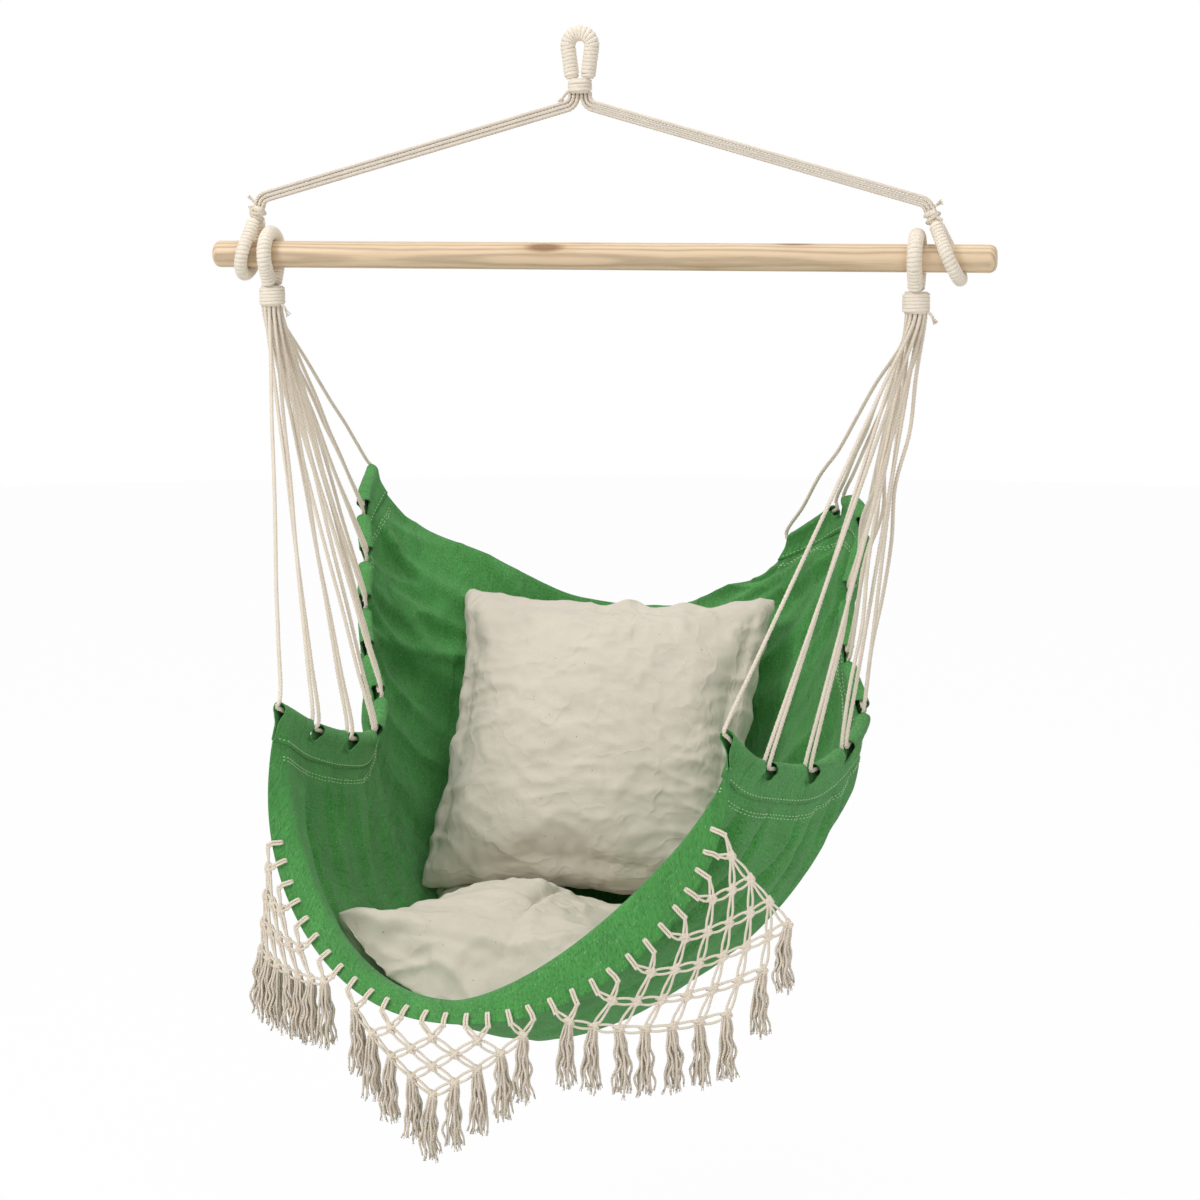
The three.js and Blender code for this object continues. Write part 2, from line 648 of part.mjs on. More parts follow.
// Direction from the cloth into the seat. In a fold it lies half way between the two sides.
function clothInward(across, share) {
  const step = PROBE_SHARE;
  const [left, right] = [Math.max(-1, across - step), Math.min(1, across + step)];
  const sideways = clothPoint(right, share).sub(clothPoint(left, share));
  const here = clothPoint(across, share);
  const before = here.clone().sub(clothPoint(across, Math.max(0, share - step)));
  const after = clothPoint(across, Math.min(1, share + step)).sub(here);
  return sideways.cross(before.normalize().add(after.normalize())).normalize();
}

// Where the cloth meets a casing, as a share of the way from the keel to the edge
function seamShare(side, share) {
  return 1 - (CASING_DEPTH + SEAM_GAP) / sectionAtShare(side, share).length;
}

// Folds: gathers below the tabs that fade towards the keel, and long folds in the back
function foldOffset(across, share) {
  const wall = Math.abs(across) / seamShare(across < 0 ? -1 : 1, share);
  const gather = Math.sin(2 * Math.PI * share * GATHER_COUNT) * Math.sin(Math.PI * wall) ** 2 * wall;
  const back = THREE.MathUtils.smoothstep(share, FOLD_START_SHARE, 1);
  const long = Math.cos(Math.PI * FOLD_COUNT * across) * (1 - wall ** 4) * back;
  return GATHER_DEPTH * gather + FOLD_DEPTH * long;
}

function clothFace(across, share, offset) {
  const point = clothPoint(across, share);
  return point.addScaledVector(clothInward(across, share), offset + foldOffset(across, share));
}

// Seat cloth, from the foot of one casing to the foot of the other
function clothGeometry() {
  const points = [];
  for (const face of [1, -1]) {
    for (let row = 0; row <= CLOTH_ROWS; row += 1) {
      for (let column = 0; column <= CLOTH_COLUMNS; column += 1) {
        points.push(gridPoint(row, column, (face * CLOTH_THICKNESS) / 2));
      }
    }
  }
  return closedGeometry(points, sheetTriangles(CLOTH_ROWS, CLOTH_COLUMNS));
}

function rowShare(row) {
  return (row / CLOTH_ROWS) ** CLOTH_ROW_EASE;
}

// Columns are spread between the feet of the two casings, and the outer two lie along them.
function gridPoint(row, column, offset) {
  const middle = CLOTH_COLUMNS / 2;
  const side = column < middle ? -1 : 1;
  const share = rowShare(row);
  if (Math.abs(column - middle) === middle) {
    const { point, down, inward, depth } = tunnelFrame(side, share);
    return point.addScaledVector(down, depth + SEAM_GAP).addScaledVector(inward, offset);
  }
  return clothFace((seamShare(side, share) * (column - middle)) / middle, share, offset);
}

// A point on the facets between the sheet's first two rows: rise is the share of the way up
function lipPoint(across, rise) {
  const place = (CLOTH_COLUMNS / 2) * (1 + across / seamShare(across < 0 ? -1 : 1, 0));
  const column = THREE.MathUtils.clamp(Math.floor(place), 0, CLOTH_COLUMNS - 1);
  const part = place - column;
  const point = gridPoint(0, column, 0).multiplyScalar(1 - Math.max(part, rise));
  point.addScaledVector(gridPoint(0, column + 1, 0), Math.max(0, part - rise));
  point.addScaledVector(gridPoint(1, column, 0), Math.max(0, rise - part));
  return point.addScaledVector(gridPoint(1, column + 1, 0), Math.min(part, rise));
}

// Triangles of two grids of points, the first over the second, closed round their rim
function sheetTriangles(rows, columns) {
  const triangles = [];
  const width = columns + 1;
  const under = (rows + 1) * width;
  const quad = (a, b, c, d) => triangles.push(a, b, c, a, c, d);
  for (let row = 0; row < rows; row += 1) {
    for (let column = 0; column < columns; column += 1) {
      const a = row * width + column;
      quad(a, a + 1, a + 1 + width, a + width);
      quad(under + a, under + a + width, under + a + 1 + width, under + a + 1);
    }
  }
  for (let column = 0; column < columns; column += 1) {
    const last = rows * width + column;
    quad(column, under + column, under + column + 1, column + 1);
    quad(last, last + 1, under + last + 1, under + last);
  }
  for (let row = 0; row < rows; row += 1) {
    const [a, b] = [row * width, row * width + columns];
    quad(a, a + width, under + a + width, under + a);
    quad(b, under + b, under + b + width, b + width);
  }
  return triangles;
}

// The line of a casing's tunnel, with the directions down the cloth and into the seat
function tunnelFrame(side, share) {
  const edge = side < 0 ? leftEdge : rightEdge;
  const section = sectionAtShare(side, share);
  const foot = walkSection(section, CASING_DEPTH).sub(section.points[0]);
  const depth = foot.length();
  const down = foot.normalize();
  const along = edge.getTangentAt(share);
  const inward = new THREE.Vector3().crossVectors(down, along).multiplyScalar(-side).normalize();
  return { point: edge.getPointAt(share), down, along, inward, depth };
}
addPiece('seat_cloth', clothGeometry(), GREEN_CLOTH);

// Rows of frames that a casing is built on, and the tunnel's frame between two of them
function casingFrames(side) {
  return Array.from({ length: CLOTH_ROWS + 1 }, (_, row) => tunnelFrame(side, rowShare(row)));
}

function frameBetween(frames, share) {
  const place = share ** (1 / CLOTH_ROW_EASE) * CLOTH_ROWS;
  const row = Math.min(CLOTH_ROWS - 1, Math.floor(place));
  const [from, to] = [frames[row], frames[row + 1]];
  const along = to.point.clone().sub(from.point).normalize();
  const mix = (key) => from[key].clone().lerp(to[key], place - row);
  return { point: mix('point'), down: mix('down').normalize(), inward: mix('inward').normalize(), along };
}

function casingRing(frame, outline) {
  return outline.map(([low, wide]) => {
    const fall = low === CASING_DEPTH ? frame.depth : low;
    return frame.point.clone().addScaledVector(frame.down, fall).addScaledVector(frame.inward, wide);
  });
}

function addCasing(side) {
  const name = side < 0 ? 'left' : 'right';
  const frames = casingFrames(side);
  const slant = TUNNEL_RADIUS * Math.SQRT1_2;
  const half = HEM_THICKNESS / 2;
  const shoulder = 2 * TUNNEL_RADIUS;
  const outline = [
    [-slant, slant], [slant, slant], [shoulder, half], [CASING_DEPTH, half],
    [CASING_DEPTH, -half], [shoulder, -half], [slant, -slant], [-slant, -slant],
  ];
  const bore = [];
  for (let i = 0; i < BORE_SIDES; i += 1) {
    const angle = (2 * Math.PI * i) / BORE_SIDES;
    bore.push([TUNNEL_BORE * Math.cos(angle), TUNNEL_BORE * Math.sin(angle)]);
  }
  const outer = frames.map((frame) => casingRing(frame, outline));
  const inner = frames.map((frame, row) => {
    const overrun = { 0: -OVERRUN, [CLOTH_ROWS]: OVERRUN }[row] ?? 0;
    const point = frame.point.clone().addScaledVector(frame.along, overrun);
    return casingRing({ ...frame, point }, bore);
  });
  let casing = solidOf(skinOver(outer)).subtract(solidOf(skinOver(inner)));
  for (let i = 1; i < TAB_COUNT; i += 1) {
    const frame = frameBetween(frames, i / TAB_COUNT);
    const reach = 2 * (TUNNEL_RADIUS + OVERRUN);
    const cutter = new THREE.CylinderGeometry(CUT_RADIUS, CUT_RADIUS, reach, CUT_SIDES);
    const turn = new THREE.Quaternion().setFromUnitVectors(Y_AXIS, frame.inward);
    cutter.applyQuaternion(turn);
    cutter.translate(frame.point.x, frame.point.y, frame.point.z);
    casing = casing.subtract(solidOf(cutter));
  }
  addPiece(`side_casing_${name}`, geometryOf(casing), GREEN_CLOTH);
}
addCasing(-1);
addCasing(1);

// Places of the clew cords in their binding: rings of six and twelve, listed front to back
function packedPlaces() {
  const places = [];
  for (let ring = 1; ring <= 2; ring += 1) {
    for (let i = 0; i < 6 * ring; i += 1) {
      const angle = (2 * Math.PI * (i + ring / 2)) / (6 * ring);
      const reach = ring * FAN_PITCH;
      places.push(new THREE.Vector2(reach * Math.cos(angle), reach * Math.sin(angle)));
    }
  }
  const depth = (place) => place.y + PLACE_SLANT * place.x;
  return places.sort((a, b) => depth(a) - depth(b));
}

// One leg from its place in the binding down to a tab's end, then into the tunnel.
// The slack share makes it wander, more in the middle than at its ends.
function legStations(start, frame, outward, slack, phase) {
  const up = frame.along.clone().multiplyScalar(frame.down.dot(frame.along)).sub(frame.down);
  up.normalize();
  const place = (far, high) => (
    frame.point.clone().addScaledVector(frame.along, outward * far).addScaledVector(up, high)
  );
  const foot = place(LEG_ASIDE, LEG_RISE);
  const neck = start.clone().addScaledVector(DOWN, BINDING_LEAD);
  const steps = slack > 0 ? SLACK_STEPS : 1;
  const stations = [start, neck];
  const sideways = new THREE.Vector3().crossVectors(foot.clone().sub(neck), frame.along).normalize();
  for (let i = 1; i < steps; i += 1) {
    const part = i / steps;
    const sway = slack * Math.sin(Math.PI * part) * Math.sin(SLACK_WAVES * Math.PI * part + phase);
    stations.push(neck.clone().lerp(foot, part).addScaledVector(sideways, SLACK_DEPTH * sway));
  }
  stations.push(foot, place(LEG_ASIDE, 0));
  return stations;
}

// Stations inside a tab: a little in from its two ends, and each row of the casing between them
function tunnelShares(from, to) {
  const inset = (to - from) * TAB_INSET_SHARE;
  const rows = Array.from({ length: CLOTH_ROWS }, (_, row) => rowShare(row));
  return [from + inset, ...rows.filter((at) => at > from + inset && at < to - inset), to - inset];
}

function addFan(side, x, bindingFoot) {
  const name = side < 0 ? 'left' : 'right';
  const places = packedPlaces();
  const frames = casingFrames(side);
  const cutShare = CUT_RADIUS / (side < 0 ? leftEdge : rightEdge).getLength();
  const start = (index) => (
    new THREE.Vector3(x + places[index].x, places[index].y, bindingFoot - TOUCH)
  );
  for (let i = 0; i < TAB_COUNT; i += 1) {
    const from = i / TAB_COUNT + (i > 0 ? cutShare : 0);
    const to = (i + 1) / TAB_COUNT - (i + 1 < TAB_COUNT ? cutShare : 0);
    const slack = side > 0 ? RIGHT_SLACK_SHARES[i] : 0;
    const front = legStations(start(2 * i), frameBetween(frames, from), -1, slack, i);
    const back = legStations(start(2 * i + 1), frameBetween(frames, to), 1, slack, i + 1);
    const inside = tunnelShares(from, to).map((share) => frameBetween(frames, share).point);
    const stations = [...front, ...inside, ...back.reverse()];
    addPiece(`clew_cord_${name}_${i + 1}`, cordGeometry(stations, CORD_RADIUS, CORD_SIDES), COTTON);
  }
}

// Clew loops, their bindings and their fans of cords
function addClew(side, x) {
  const name = side < 0 ? 'left' : 'right';
  const arcRadius = BAR_RADIUS + LOOP_GAP + CLEW_LOOP_RADIUS;
  const centre = new THREE.Vector3(x, 0, -BAR_DROP);
  const half = legHalf(CLEW_LOOP_RADIUS);
  const path = new Teardrop(centre, Y_AXIS, Z_AXIS, arcRadius, half, CLEW_LOOP_DROP);
  const loopName = `clew_loop_${name}`;
  const overhang = addWhippedLoop(loopName, path, CLEW_LOOP_RADIUS, LOOP_TURNS, LOOP_STEPS);
  const top = -BAR_DROP - CLEW_LOOP_DROP - overhang;
  const start = new THREE.Vector3(x, 0, top);
  const [radius, length] = [CLEW_BINDING_RADIUS, CLEW_BINDING_LENGTH];
  addBinding(`clew_binding_${name}`, start, DOWN, radius, length, BINDING_TURNS);
  addFan(side, x, top - CLEW_BINDING_LENGTH);
}
addClew(-1, CLEW_LEFT);
addClew(1, CLEW_RIGHT);

// The hem that carries the fringe: the section at the cloth's front edge, walked from the left
const leftHem = halfSection(-1, 0);
const rightHem = halfSection(1, 0);
const fringeLength = leftHem.length + rightHem.length - FRINGE_LEFT_DROP - FRINGE_RIGHT_DROP;
const HEADER_PITCH = fringeLength / (HEADER_COUNT - 1);

function hemAcross(distance) {
  const walked = FRINGE_LEFT_DROP + distance;
  if (walked < leftHem.length) {
    return walked / leftHem.length - 1;
  }
  return (walked - leftHem.length) / rightHem.length;
}

// A point of the fringe: along the hem, down from it and out from its middle layer.
// Above the hem it lies on the cloth's face, and below the hem it hangs clear of the edge.
function fringePoint(along, fall, layer) {
  const across = hemAcross(along);
  const edge = lipPoint(across, 0);
  const up = lipPoint(across, 1 / 2).sub(edge).normalize();
  const near = [1, -1].map((side) => lipPoint(hemAcross(along + (side * STRAND_WIDTH) / 2), 0));
  const run = near[0].sub(near[1]).normalize();
  const face = run.clone().cross(up).normalize();
  const stand = CLOTH_THICKNESS / 2 + FRINGE_STAND + NET_THICKNESS / 2;
  if (fall < 0) {
    return edge.addScaledVector(up, -fall).addScaledVector(face, stand + layer);
  }
  const corner = edge.addScaledVector(face, stand).addScaledVector(up, -stand);
  if (fall === 0) {
    return corner.addScaledVector(face.sub(up), layer);
  }
  const out = new THREE.Vector3(-up.x, -up.y, 0).normalize();
  const spread = (across < 0 ? LEFT_SPREAD_SHARE : RIGHT_SPREAD_SHARE) * run.z ** 2;
  const hang = DOWN.clone().addScaledVector(out, spread).normalize();
  const aside = out.addScaledVector(hang, -out.dot(hang)).normalize();
  return corner.addScaledVector(hang, fall).addScaledVector(aside, layer);
}

// A lappet of net on the flat: headers first to last, its two sides slanting or straight, and the
// knots below them, each row half a mesh on from the one above.
class Lappet {
  constructor(first, last, slantLeft, slantRight, rows) {
    Object.assign(this, { first, last, slantLeft, slantRight, rows });
    this.points = [];
    this.quads = [];
    this.corners = new Map();
    const slope = Math.hypot(HEADER_PITCH, KNOT_DROP);
    this.wide = (STRAND_WIDTH / 2) * (slope / KNOT_DROP);
    this.high = (STRAND_WIDTH / 2) * (slope / HEADER_PITCH);
  }

  // First and last knot of a row, counted in header pitches
  rowEnds(row) {
    const step = row - 1;
    const left = this.first + 1 / 2 + (this.slantLeft ? step : step % 2);
    const right = this.last - 1 / 2 - (this.slantRight ? step : step % 2);
    return [left, right];
  }

  hasKnot(place, row) {
    const [left, right] = this.rowEnds(row);
    return row >= 1 && row <= this.rows && place >= left && place <= right;
  }

  addPoint(x, y) {
    return this.points.push(new THREE.Vector2(x, y)) - 1;
  }

  // Corners of a knot: left, top, right and bottom
  knotCorners(place, row) {
    const key = `${place} ${row}`;
    if (!this.corners.has(key)) {
      const [x, y] = [place * HEADER_PITCH, row * KNOT_DROP];
      const around = [[-this.wide, 0], [0, -this.high], [this.wide, 0], [0, this.high]];
      this.corners.set(key, around.map(([aside, down]) => this.addPoint(x + aside, y + down)));
    }
    return this.corners.get(key);
  }

  // A header and its strand to the knot that it shares with the other header of its pair
  addHeader(number) {
    const half = STRAND_WIDTH / 2;
    const x = number * HEADER_PITCH;
    const head = [-half, half].map((aside) => this.addPoint(x + aside, -HEADER_LENGTH));
    const foot = [-half, half].map((aside) => this.addPoint(x + aside, 0));
    const isLeft = (number - this.first) % 2 === 0;
    const [left, top, right] = this.knotCorners(number + (isLeft ? 1 / 2 : -1 / 2), 1);
    this.quads.push([head[0], foot[0], foot[1], head[1]]);
    this.quads.push([foot[0], ...(isLeft ? [left, top] : [top, right]), foot[1]]);
  }

  // A knot, its strands to the next row, and on a straight side the strand to the row after that
  addKnot(place, row) {
    const [left, top, right, bottom] = this.knotCorners(place, row);
    this.quads.push([left, bottom, right, top]);
    if (this.hasKnot(place - 1, row + 1)) {
      const next = this.knotCorners(place - 1, row + 1);
      this.quads.push([left, next[1], next[2], bottom]);
    }
    if (this.hasKnot(place + 1, row + 1)) {
      const next = this.knotCorners(place + 1, row + 1);
      this.quads.push([bottom, next[0], next[1], right]);
    }
    if (!this.slantLeft && place === this.first + 1 / 2 && this.hasKnot(place, row + 2)) {
      const next = this.knotCorners(place, row + 2);
      this.quads.push([left, next[0], next[1], bottom]);
    }
    if (!this.slantRight && place === this.last - 1 / 2 && this.hasKnot(place, row + 2)) {
      const next = this.knotCorners(place, row + 2);
      this.quads.push([bottom, next[1], next[2], right]);
    }
  }

  knots() {
    const knots = [];
    for (let row = 1; row <= this.rows; row += 1) {
      const [left, right] = this.rowEnds(row);
      for (let place = left; place <= right; place += 2) {
        knots.push([place, row]);
      }
    }
    return knots;
  }

  // The net's two faces, closed by walls along every edge that only one triangle has
  geometry() {
    for (let number = this.first; number <= this.last; number += 1) {
      this.addHeader(number);
    }
    this.knots().forEach(([place, row]) => this.addKnot(place, row));
    const faces = this.quads.flatMap(([a, b, c, d]) => [[a, b, c], [a, c, d]]);
    const edges = faces.flatMap(([a, b, c]) => [[a, b], [b, c], [c, a]]);
    const known = new Set(edges.map((edge) => edge.join(' ')));
    const under = this.points.length;
    const triangles = faces.flatMap(([a, b, c]) => [a, b, c, under + c, under + b, under + a]);
    for (const [from, to] of edges.filter((edge) => !known.has(`${edge[1]} ${edge[0]}`))) {
      triangles.push(to, from, under + from, to, under + from, under + to);
    }
    const points = [1, -1].flatMap((face) => (
      this.points.map(({ x, y }) => fringePoint(x, y, (face * NET_THICKNESS) / 2))
    ));
    return closedGeometry(points, triangles);
  }

  // Knots that carry a tassel: those of a slanting side and those of the last row
  tasselKnots() {
    return this.knots().filter(([place, row]) => {
      const [left, right] = this.rowEnds(row);
      const onSide = (this.slantLeft && place === left) || (this.slantRight && place === right);
      return onSide || row === this.rows;
    }).map(([place, row]) => [place * HEADER_PITCH, row * KNOT_DROP]);
  }
}

function tasselGeometry(top) {
  return skinOver(TASSEL_SHARES.map(([part, wide]) => {
    const radius = THREE.MathUtils.lerp(TASSEL_TOP_RADIUS, TASSEL_END_RADIUS, wide);
    const ring = [];
    for (let i = 0; i < 2 * TASSEL_RIBS; i += 1) {
      const angle = (Math.PI * i) / TASSEL_RIBS;
      const reach = radius * (i % 2 === 0 ? 1 : TASSEL_GROOVE_SHARE);
      const fall = TASSEL_CAP - part * (TASSEL_LENGTH + TASSEL_CAP);
      ring.push(new THREE.Vector3(reach * Math.cos(angle), reach * Math.sin(angle), fall).add(top));
    }
    return ring;
  }));
}

function addFringe(name, lappet) {
  let solid = solidOf(lappet.geometry());
  for (const [along, fall] of lappet.tasselKnots()) {
    solid = solid.add(solidOf(tasselGeometry(fringePoint(along, fall, 0))));
  }
  addPiece(name, geometryOf(solid.simplify(SMALLEST_EDGE)), COTTON);
}
addFringe('fringe_left', new Lappet(0, 7, false, true, 7));
addFringe('fringe_centre', new Lappet(8, 17, true, true, 5));
addFringe('fringe_right', new Lappet(18, 29, true, false, 7));

// Pillows: a crown over a square whose sides draw in between its corners.
// frameAt gives the place and the upward direction for distances from the pillow's middle.
function pillowGeometry(frameAt, thickness, belowShare) {
  const points = [];
  for (const face of [1 - belowShare, -belowShare]) {
    for (let row = 0; row <= PILLOW_STEPS; row += 1) {
      for (let column = 0; column <= PILLOW_STEPS; column += 1) {
        const a = Math.sin((Math.PI * (column / PILLOW_STEPS - 1 / 2)));
        const b = Math.sin((Math.PI * (row / PILLOW_STEPS - 1 / 2)));
        const x = (PILLOW_SIZE / 2) * a * (1 - PILLOW_DRAW_SHARE * (1 - b * b));
        const y = (PILLOW_SIZE / 2) * b * (1 - PILLOW_DRAW_SHARE * (1 - a * a));
        const crown = ((1 - a * a) * (1 - b * b)) ** PILLOW_CROWN_SHARE;
        const height = face * (PILLOW_SEAM_THICKNESS + thickness * crown);
        const { point, up } = frameAt(x, y);
        points.push(point.clone().addScaledVector(up, height));
      }
    }
  }
  return closedGeometry(points, sheetTriangles(PILLOW_STEPS, PILLOW_STEPS));
}

function backPillowFrame(x, y) {
  const rise = new THREE.Vector3(0, Math.sin(BACK_PILLOW_LEAN), Math.cos(BACK_PILLOW_LEAN));
  const up = new THREE.Vector3(0, -Math.cos(BACK_PILLOW_LEAN), Math.sin(BACK_PILLOW_LEAN));
  const point = new THREE.Vector3(BACK_PILLOW_ASIDE + x, BACK_PILLOW_BACK, -BACK_PILLOW_FALL);
  point.addScaledVector(rise, y);
  return { point, up };
}

// The seat pillow lies in the cloth: its underside follows the cloth's face.
function seatPillowFrame(x, y) {
  const share = (SEAT_PILLOW_FRONT + PILLOW_SIZE / 2 + y) / keel.getLength();
  const walked = x + SEAT_PILLOW_ASIDE;
  const across = walked / sectionAtShare(walked < 0 ? -1 : 1, share).length;
  const up = clothInward(across, share);
  const lift = CLOTH_THICKNESS / 2 + SEAT_PILLOW_LIFT;
  return { point: clothFace(across, share, lift), up };
}
const backPillow = pillowGeometry(backPillowFrame, BACK_PILLOW_THICKNESS, 1 / 2);
addPiece('back_pillow', backPillow, PILLOW_CLOTH);
addPiece('seat_pillow', pillowGeometry(seatPillowFrame, SEAT_PILLOW_THICKNESS, 0), PILLOW_CLOTH);

export default chair;
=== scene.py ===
"""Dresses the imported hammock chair: twisted cords, canvas, knotted fringe, pillows and wood."""

import json
import math
import random

import bmesh
import bpy
from bpy.props import FloatProperty, FloatVectorProperty, PointerProperty
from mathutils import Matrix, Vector, noise
from mathutils.bvhtree import BVHTree

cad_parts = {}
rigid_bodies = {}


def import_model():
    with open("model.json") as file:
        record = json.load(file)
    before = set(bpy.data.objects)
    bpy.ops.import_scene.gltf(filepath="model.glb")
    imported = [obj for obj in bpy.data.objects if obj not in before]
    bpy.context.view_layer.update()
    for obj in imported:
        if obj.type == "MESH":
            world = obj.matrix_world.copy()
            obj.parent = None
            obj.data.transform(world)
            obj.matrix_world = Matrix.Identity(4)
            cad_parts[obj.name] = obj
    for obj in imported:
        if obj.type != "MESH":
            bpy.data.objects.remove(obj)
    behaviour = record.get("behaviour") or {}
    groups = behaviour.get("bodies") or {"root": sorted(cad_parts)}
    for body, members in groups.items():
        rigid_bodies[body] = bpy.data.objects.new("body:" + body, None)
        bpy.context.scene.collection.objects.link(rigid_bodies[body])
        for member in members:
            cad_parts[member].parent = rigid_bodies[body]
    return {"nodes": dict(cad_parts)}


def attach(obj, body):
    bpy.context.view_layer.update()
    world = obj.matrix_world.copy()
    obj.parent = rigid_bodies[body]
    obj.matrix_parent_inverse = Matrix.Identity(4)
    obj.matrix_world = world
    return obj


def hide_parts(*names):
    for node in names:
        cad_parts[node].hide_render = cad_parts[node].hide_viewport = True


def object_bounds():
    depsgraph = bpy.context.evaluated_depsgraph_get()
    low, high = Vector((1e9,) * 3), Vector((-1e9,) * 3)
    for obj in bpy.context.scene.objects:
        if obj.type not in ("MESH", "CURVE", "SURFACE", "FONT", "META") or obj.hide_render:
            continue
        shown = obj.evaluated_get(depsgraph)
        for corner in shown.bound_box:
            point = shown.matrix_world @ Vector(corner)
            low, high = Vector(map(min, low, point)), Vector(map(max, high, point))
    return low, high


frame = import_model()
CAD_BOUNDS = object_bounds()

bl_info = {
    "name": "Hammock Chair",
    "version": (1, 0, 0),
    "blender": (4, 5, 0),
    "location": "View3D > Sidebar > Hammock Chair",
    "description": "Builds a hanging hammock chair with a knotted fringe and two pillows",
    "category": "Add Mesh",
}

MM = 0.001
FRINGE_PIECES = ("knotted_net", "tassels", "tassel_tips")
X_AXIS, Y_AXIS, Z_AXIS = Vector((1, 0, 0)), Vector((0, 1, 0)), Vector((0, 0, 1))
DOWN = Vector((0, 0, -1))
SIDES = ((-1, "left"), (1, "right"))

# The sizes that the solids are built from, in millimetres
TOUCH = 0.3
BAR_LENGTH, BAR_RADIUS, BAR_SHIFT, BAR_DROP, BAR_END_ROUND = 1000, 17, 15, 262, 9
CORD_RADIUS, CORD_PITCH, FAN_PITCH, PLACE_SLANT = 2.3, 5, 5.7, -0.01
WHIP_HEIGHT = 2.7
EYE_INNER_RADIUS, EYE_STRAND_RADIUS, EYE_LEG_DROP = 5.5, 9.6, 44
NECK_RADIUS, NECK_LENGTH = 12.4, 18
BRIDLE_ROWS, BRIDLE_COLUMNS, BRIDLE_BEND, BRIDLE_LEAD = 3, 2, 13, 13
BRIDLE_LOOP_RADIUS, BRIDLE_LOOP_RISE = 8.5, 45
BRIDLE_LOOP_PLACES = {-1: (-438, math.radians(14)), 1: (460, math.radians(25))}
KNOT_RADIUS, KNOT_LENGTH = 11, 15
CLEW_LOOP_RADIUS, CLEW_LOOP_DROP, LOOP_GAP = 9.5, 37, 0.5
CLEW_PLACES = {-1: -408, 1: 419}
CLEW_BINDING_RADIUS, CLEW_BINDING_LENGTH = 14.2, 26
SEAT_HALF_WIDTH, SEAT_DEPTH, SEAT_DROP = 340, 750, 985
SEAT_SHIFT = Vector((8, -35, 10 - BAR_DROP))
CLOTH_THICKNESS, WALL_BULGE = 3, 24
GATHER_DEPTH, GATHER_COUNT, FOLD_DEPTH, FOLD_COUNT, FOLD_START_SHARE = 6, 5, 9, 4, 0.6
CLOTH_ROWS, CLOTH_ROW_EASE, SECTION_STEPS, PROBE_SHARE = 22, 1.25, 72, 0.01
CREST_SHARE = (1 / CLOTH_ROWS) ** CLOTH_ROW_EASE
CASING_DEPTH, TUNNEL_RADIUS, HEM_THICKNESS = 40, 9, 3.4
TAB_COUNT, CUT_RADIUS = 9, 15
LEG_ASIDE, LEG_RISE, TAB_INSET_SHARE, BINDING_LEAD = 7.5, 9, 0.06, 6
SLACK_DEPTH, SLACK_STEPS, SLACK_WAVES = 6, 7, 5
RIGHT_SLACK = [0, 0, 0.6, 0, 0.8, 1, 1, 0, 0.7]
FRINGE_LEFT_DROP, FRINGE_RIGHT_DROP, HEADER_COUNT, HEADER_LENGTH = 165, 112, 30, 12
KNOT_DROP, STRAND_WIDTH, NET_THICKNESS, FRINGE_STAND = 17, 4, 3.6, 0.9
TASSEL_LENGTH, TASSEL_TOP_RADIUS, TASSEL_END_RADIUS = 76, 4, 8
LEFT_SPREAD, RIGHT_SPREAD = 0.12, 0.95
PILLOW_SIZE, BACK_PILLOW_LEAN = 430, math.radians(33)

LEFT_EDGE_SHARES = [
    (-0.885, -0.36, 0.546), (-0.84, -0.253, 0.587), (-0.79, -0.147, 0.615),
    (-0.776, -0.053, 0.625), (-0.81, 0.04, 0.597), (-0.926, 0.133, 0.544),
    (-1.01, 0.227, 0.485), (-1.065, 0.313, 0.424), (-1.14, 0.4, 0.361), (-1.153, 0.47, 0.326),
]
RIGHT_EDGE_SHARES = [
    (0.706, -0.36, 0.552), (0.77, -0.3, 0.592), (0.84, -0.22, 0.613), (0.935, -0.12, 0.627),
    (1.01, -0.013, 0.613), (1.035, 0.08, 0.587), (0.947, 0.173, 0.531), (0.918, 0.26, 0.45),
    (0.95, 0.333, 0.37), (0.88, 0.4, 0.345), (0.76, 0.45, 0.372), (0.62, 0.475, 0.404),
]
KEEL_SHARES = [
    (-0.18, -0.512, 0.885), (-0.19, -0.475, 0.867), (-0.13, -0.387, 0.913),
    (-0.06, -0.267, 0.962), (-0.015, -0.133, 0.99), (0, 0, 0.985), (0, 0.12, 0.947),
    (-0.015, 0.227, 0.856), (-0.03, 0.32, 0.739), (-0.035, 0.4, 0.632),
    (-0.044, 0.464, 0.551), (-0.053, 0.493, 0.514),
]
FULLNESS = {
    -1: [(0, 2.5), (CREST_SHARE, 2.25), (0.12, 2.3), (0.7, 2.1), (1, 1.35)],
    1: [(0, 2.15), (CREST_SHARE, 1.4), (0.2, 1.55), (0.5, 1.65), (1, 1.7)],
}
BULGE = {
    -1: [(0, 1), (CREST_SHARE, 0), (0.12, 1), (1, 0.5)],
    1: [(0, 0.5), (CREST_SHARE, 0), (0.12, 0.3), (1, 0)],
}

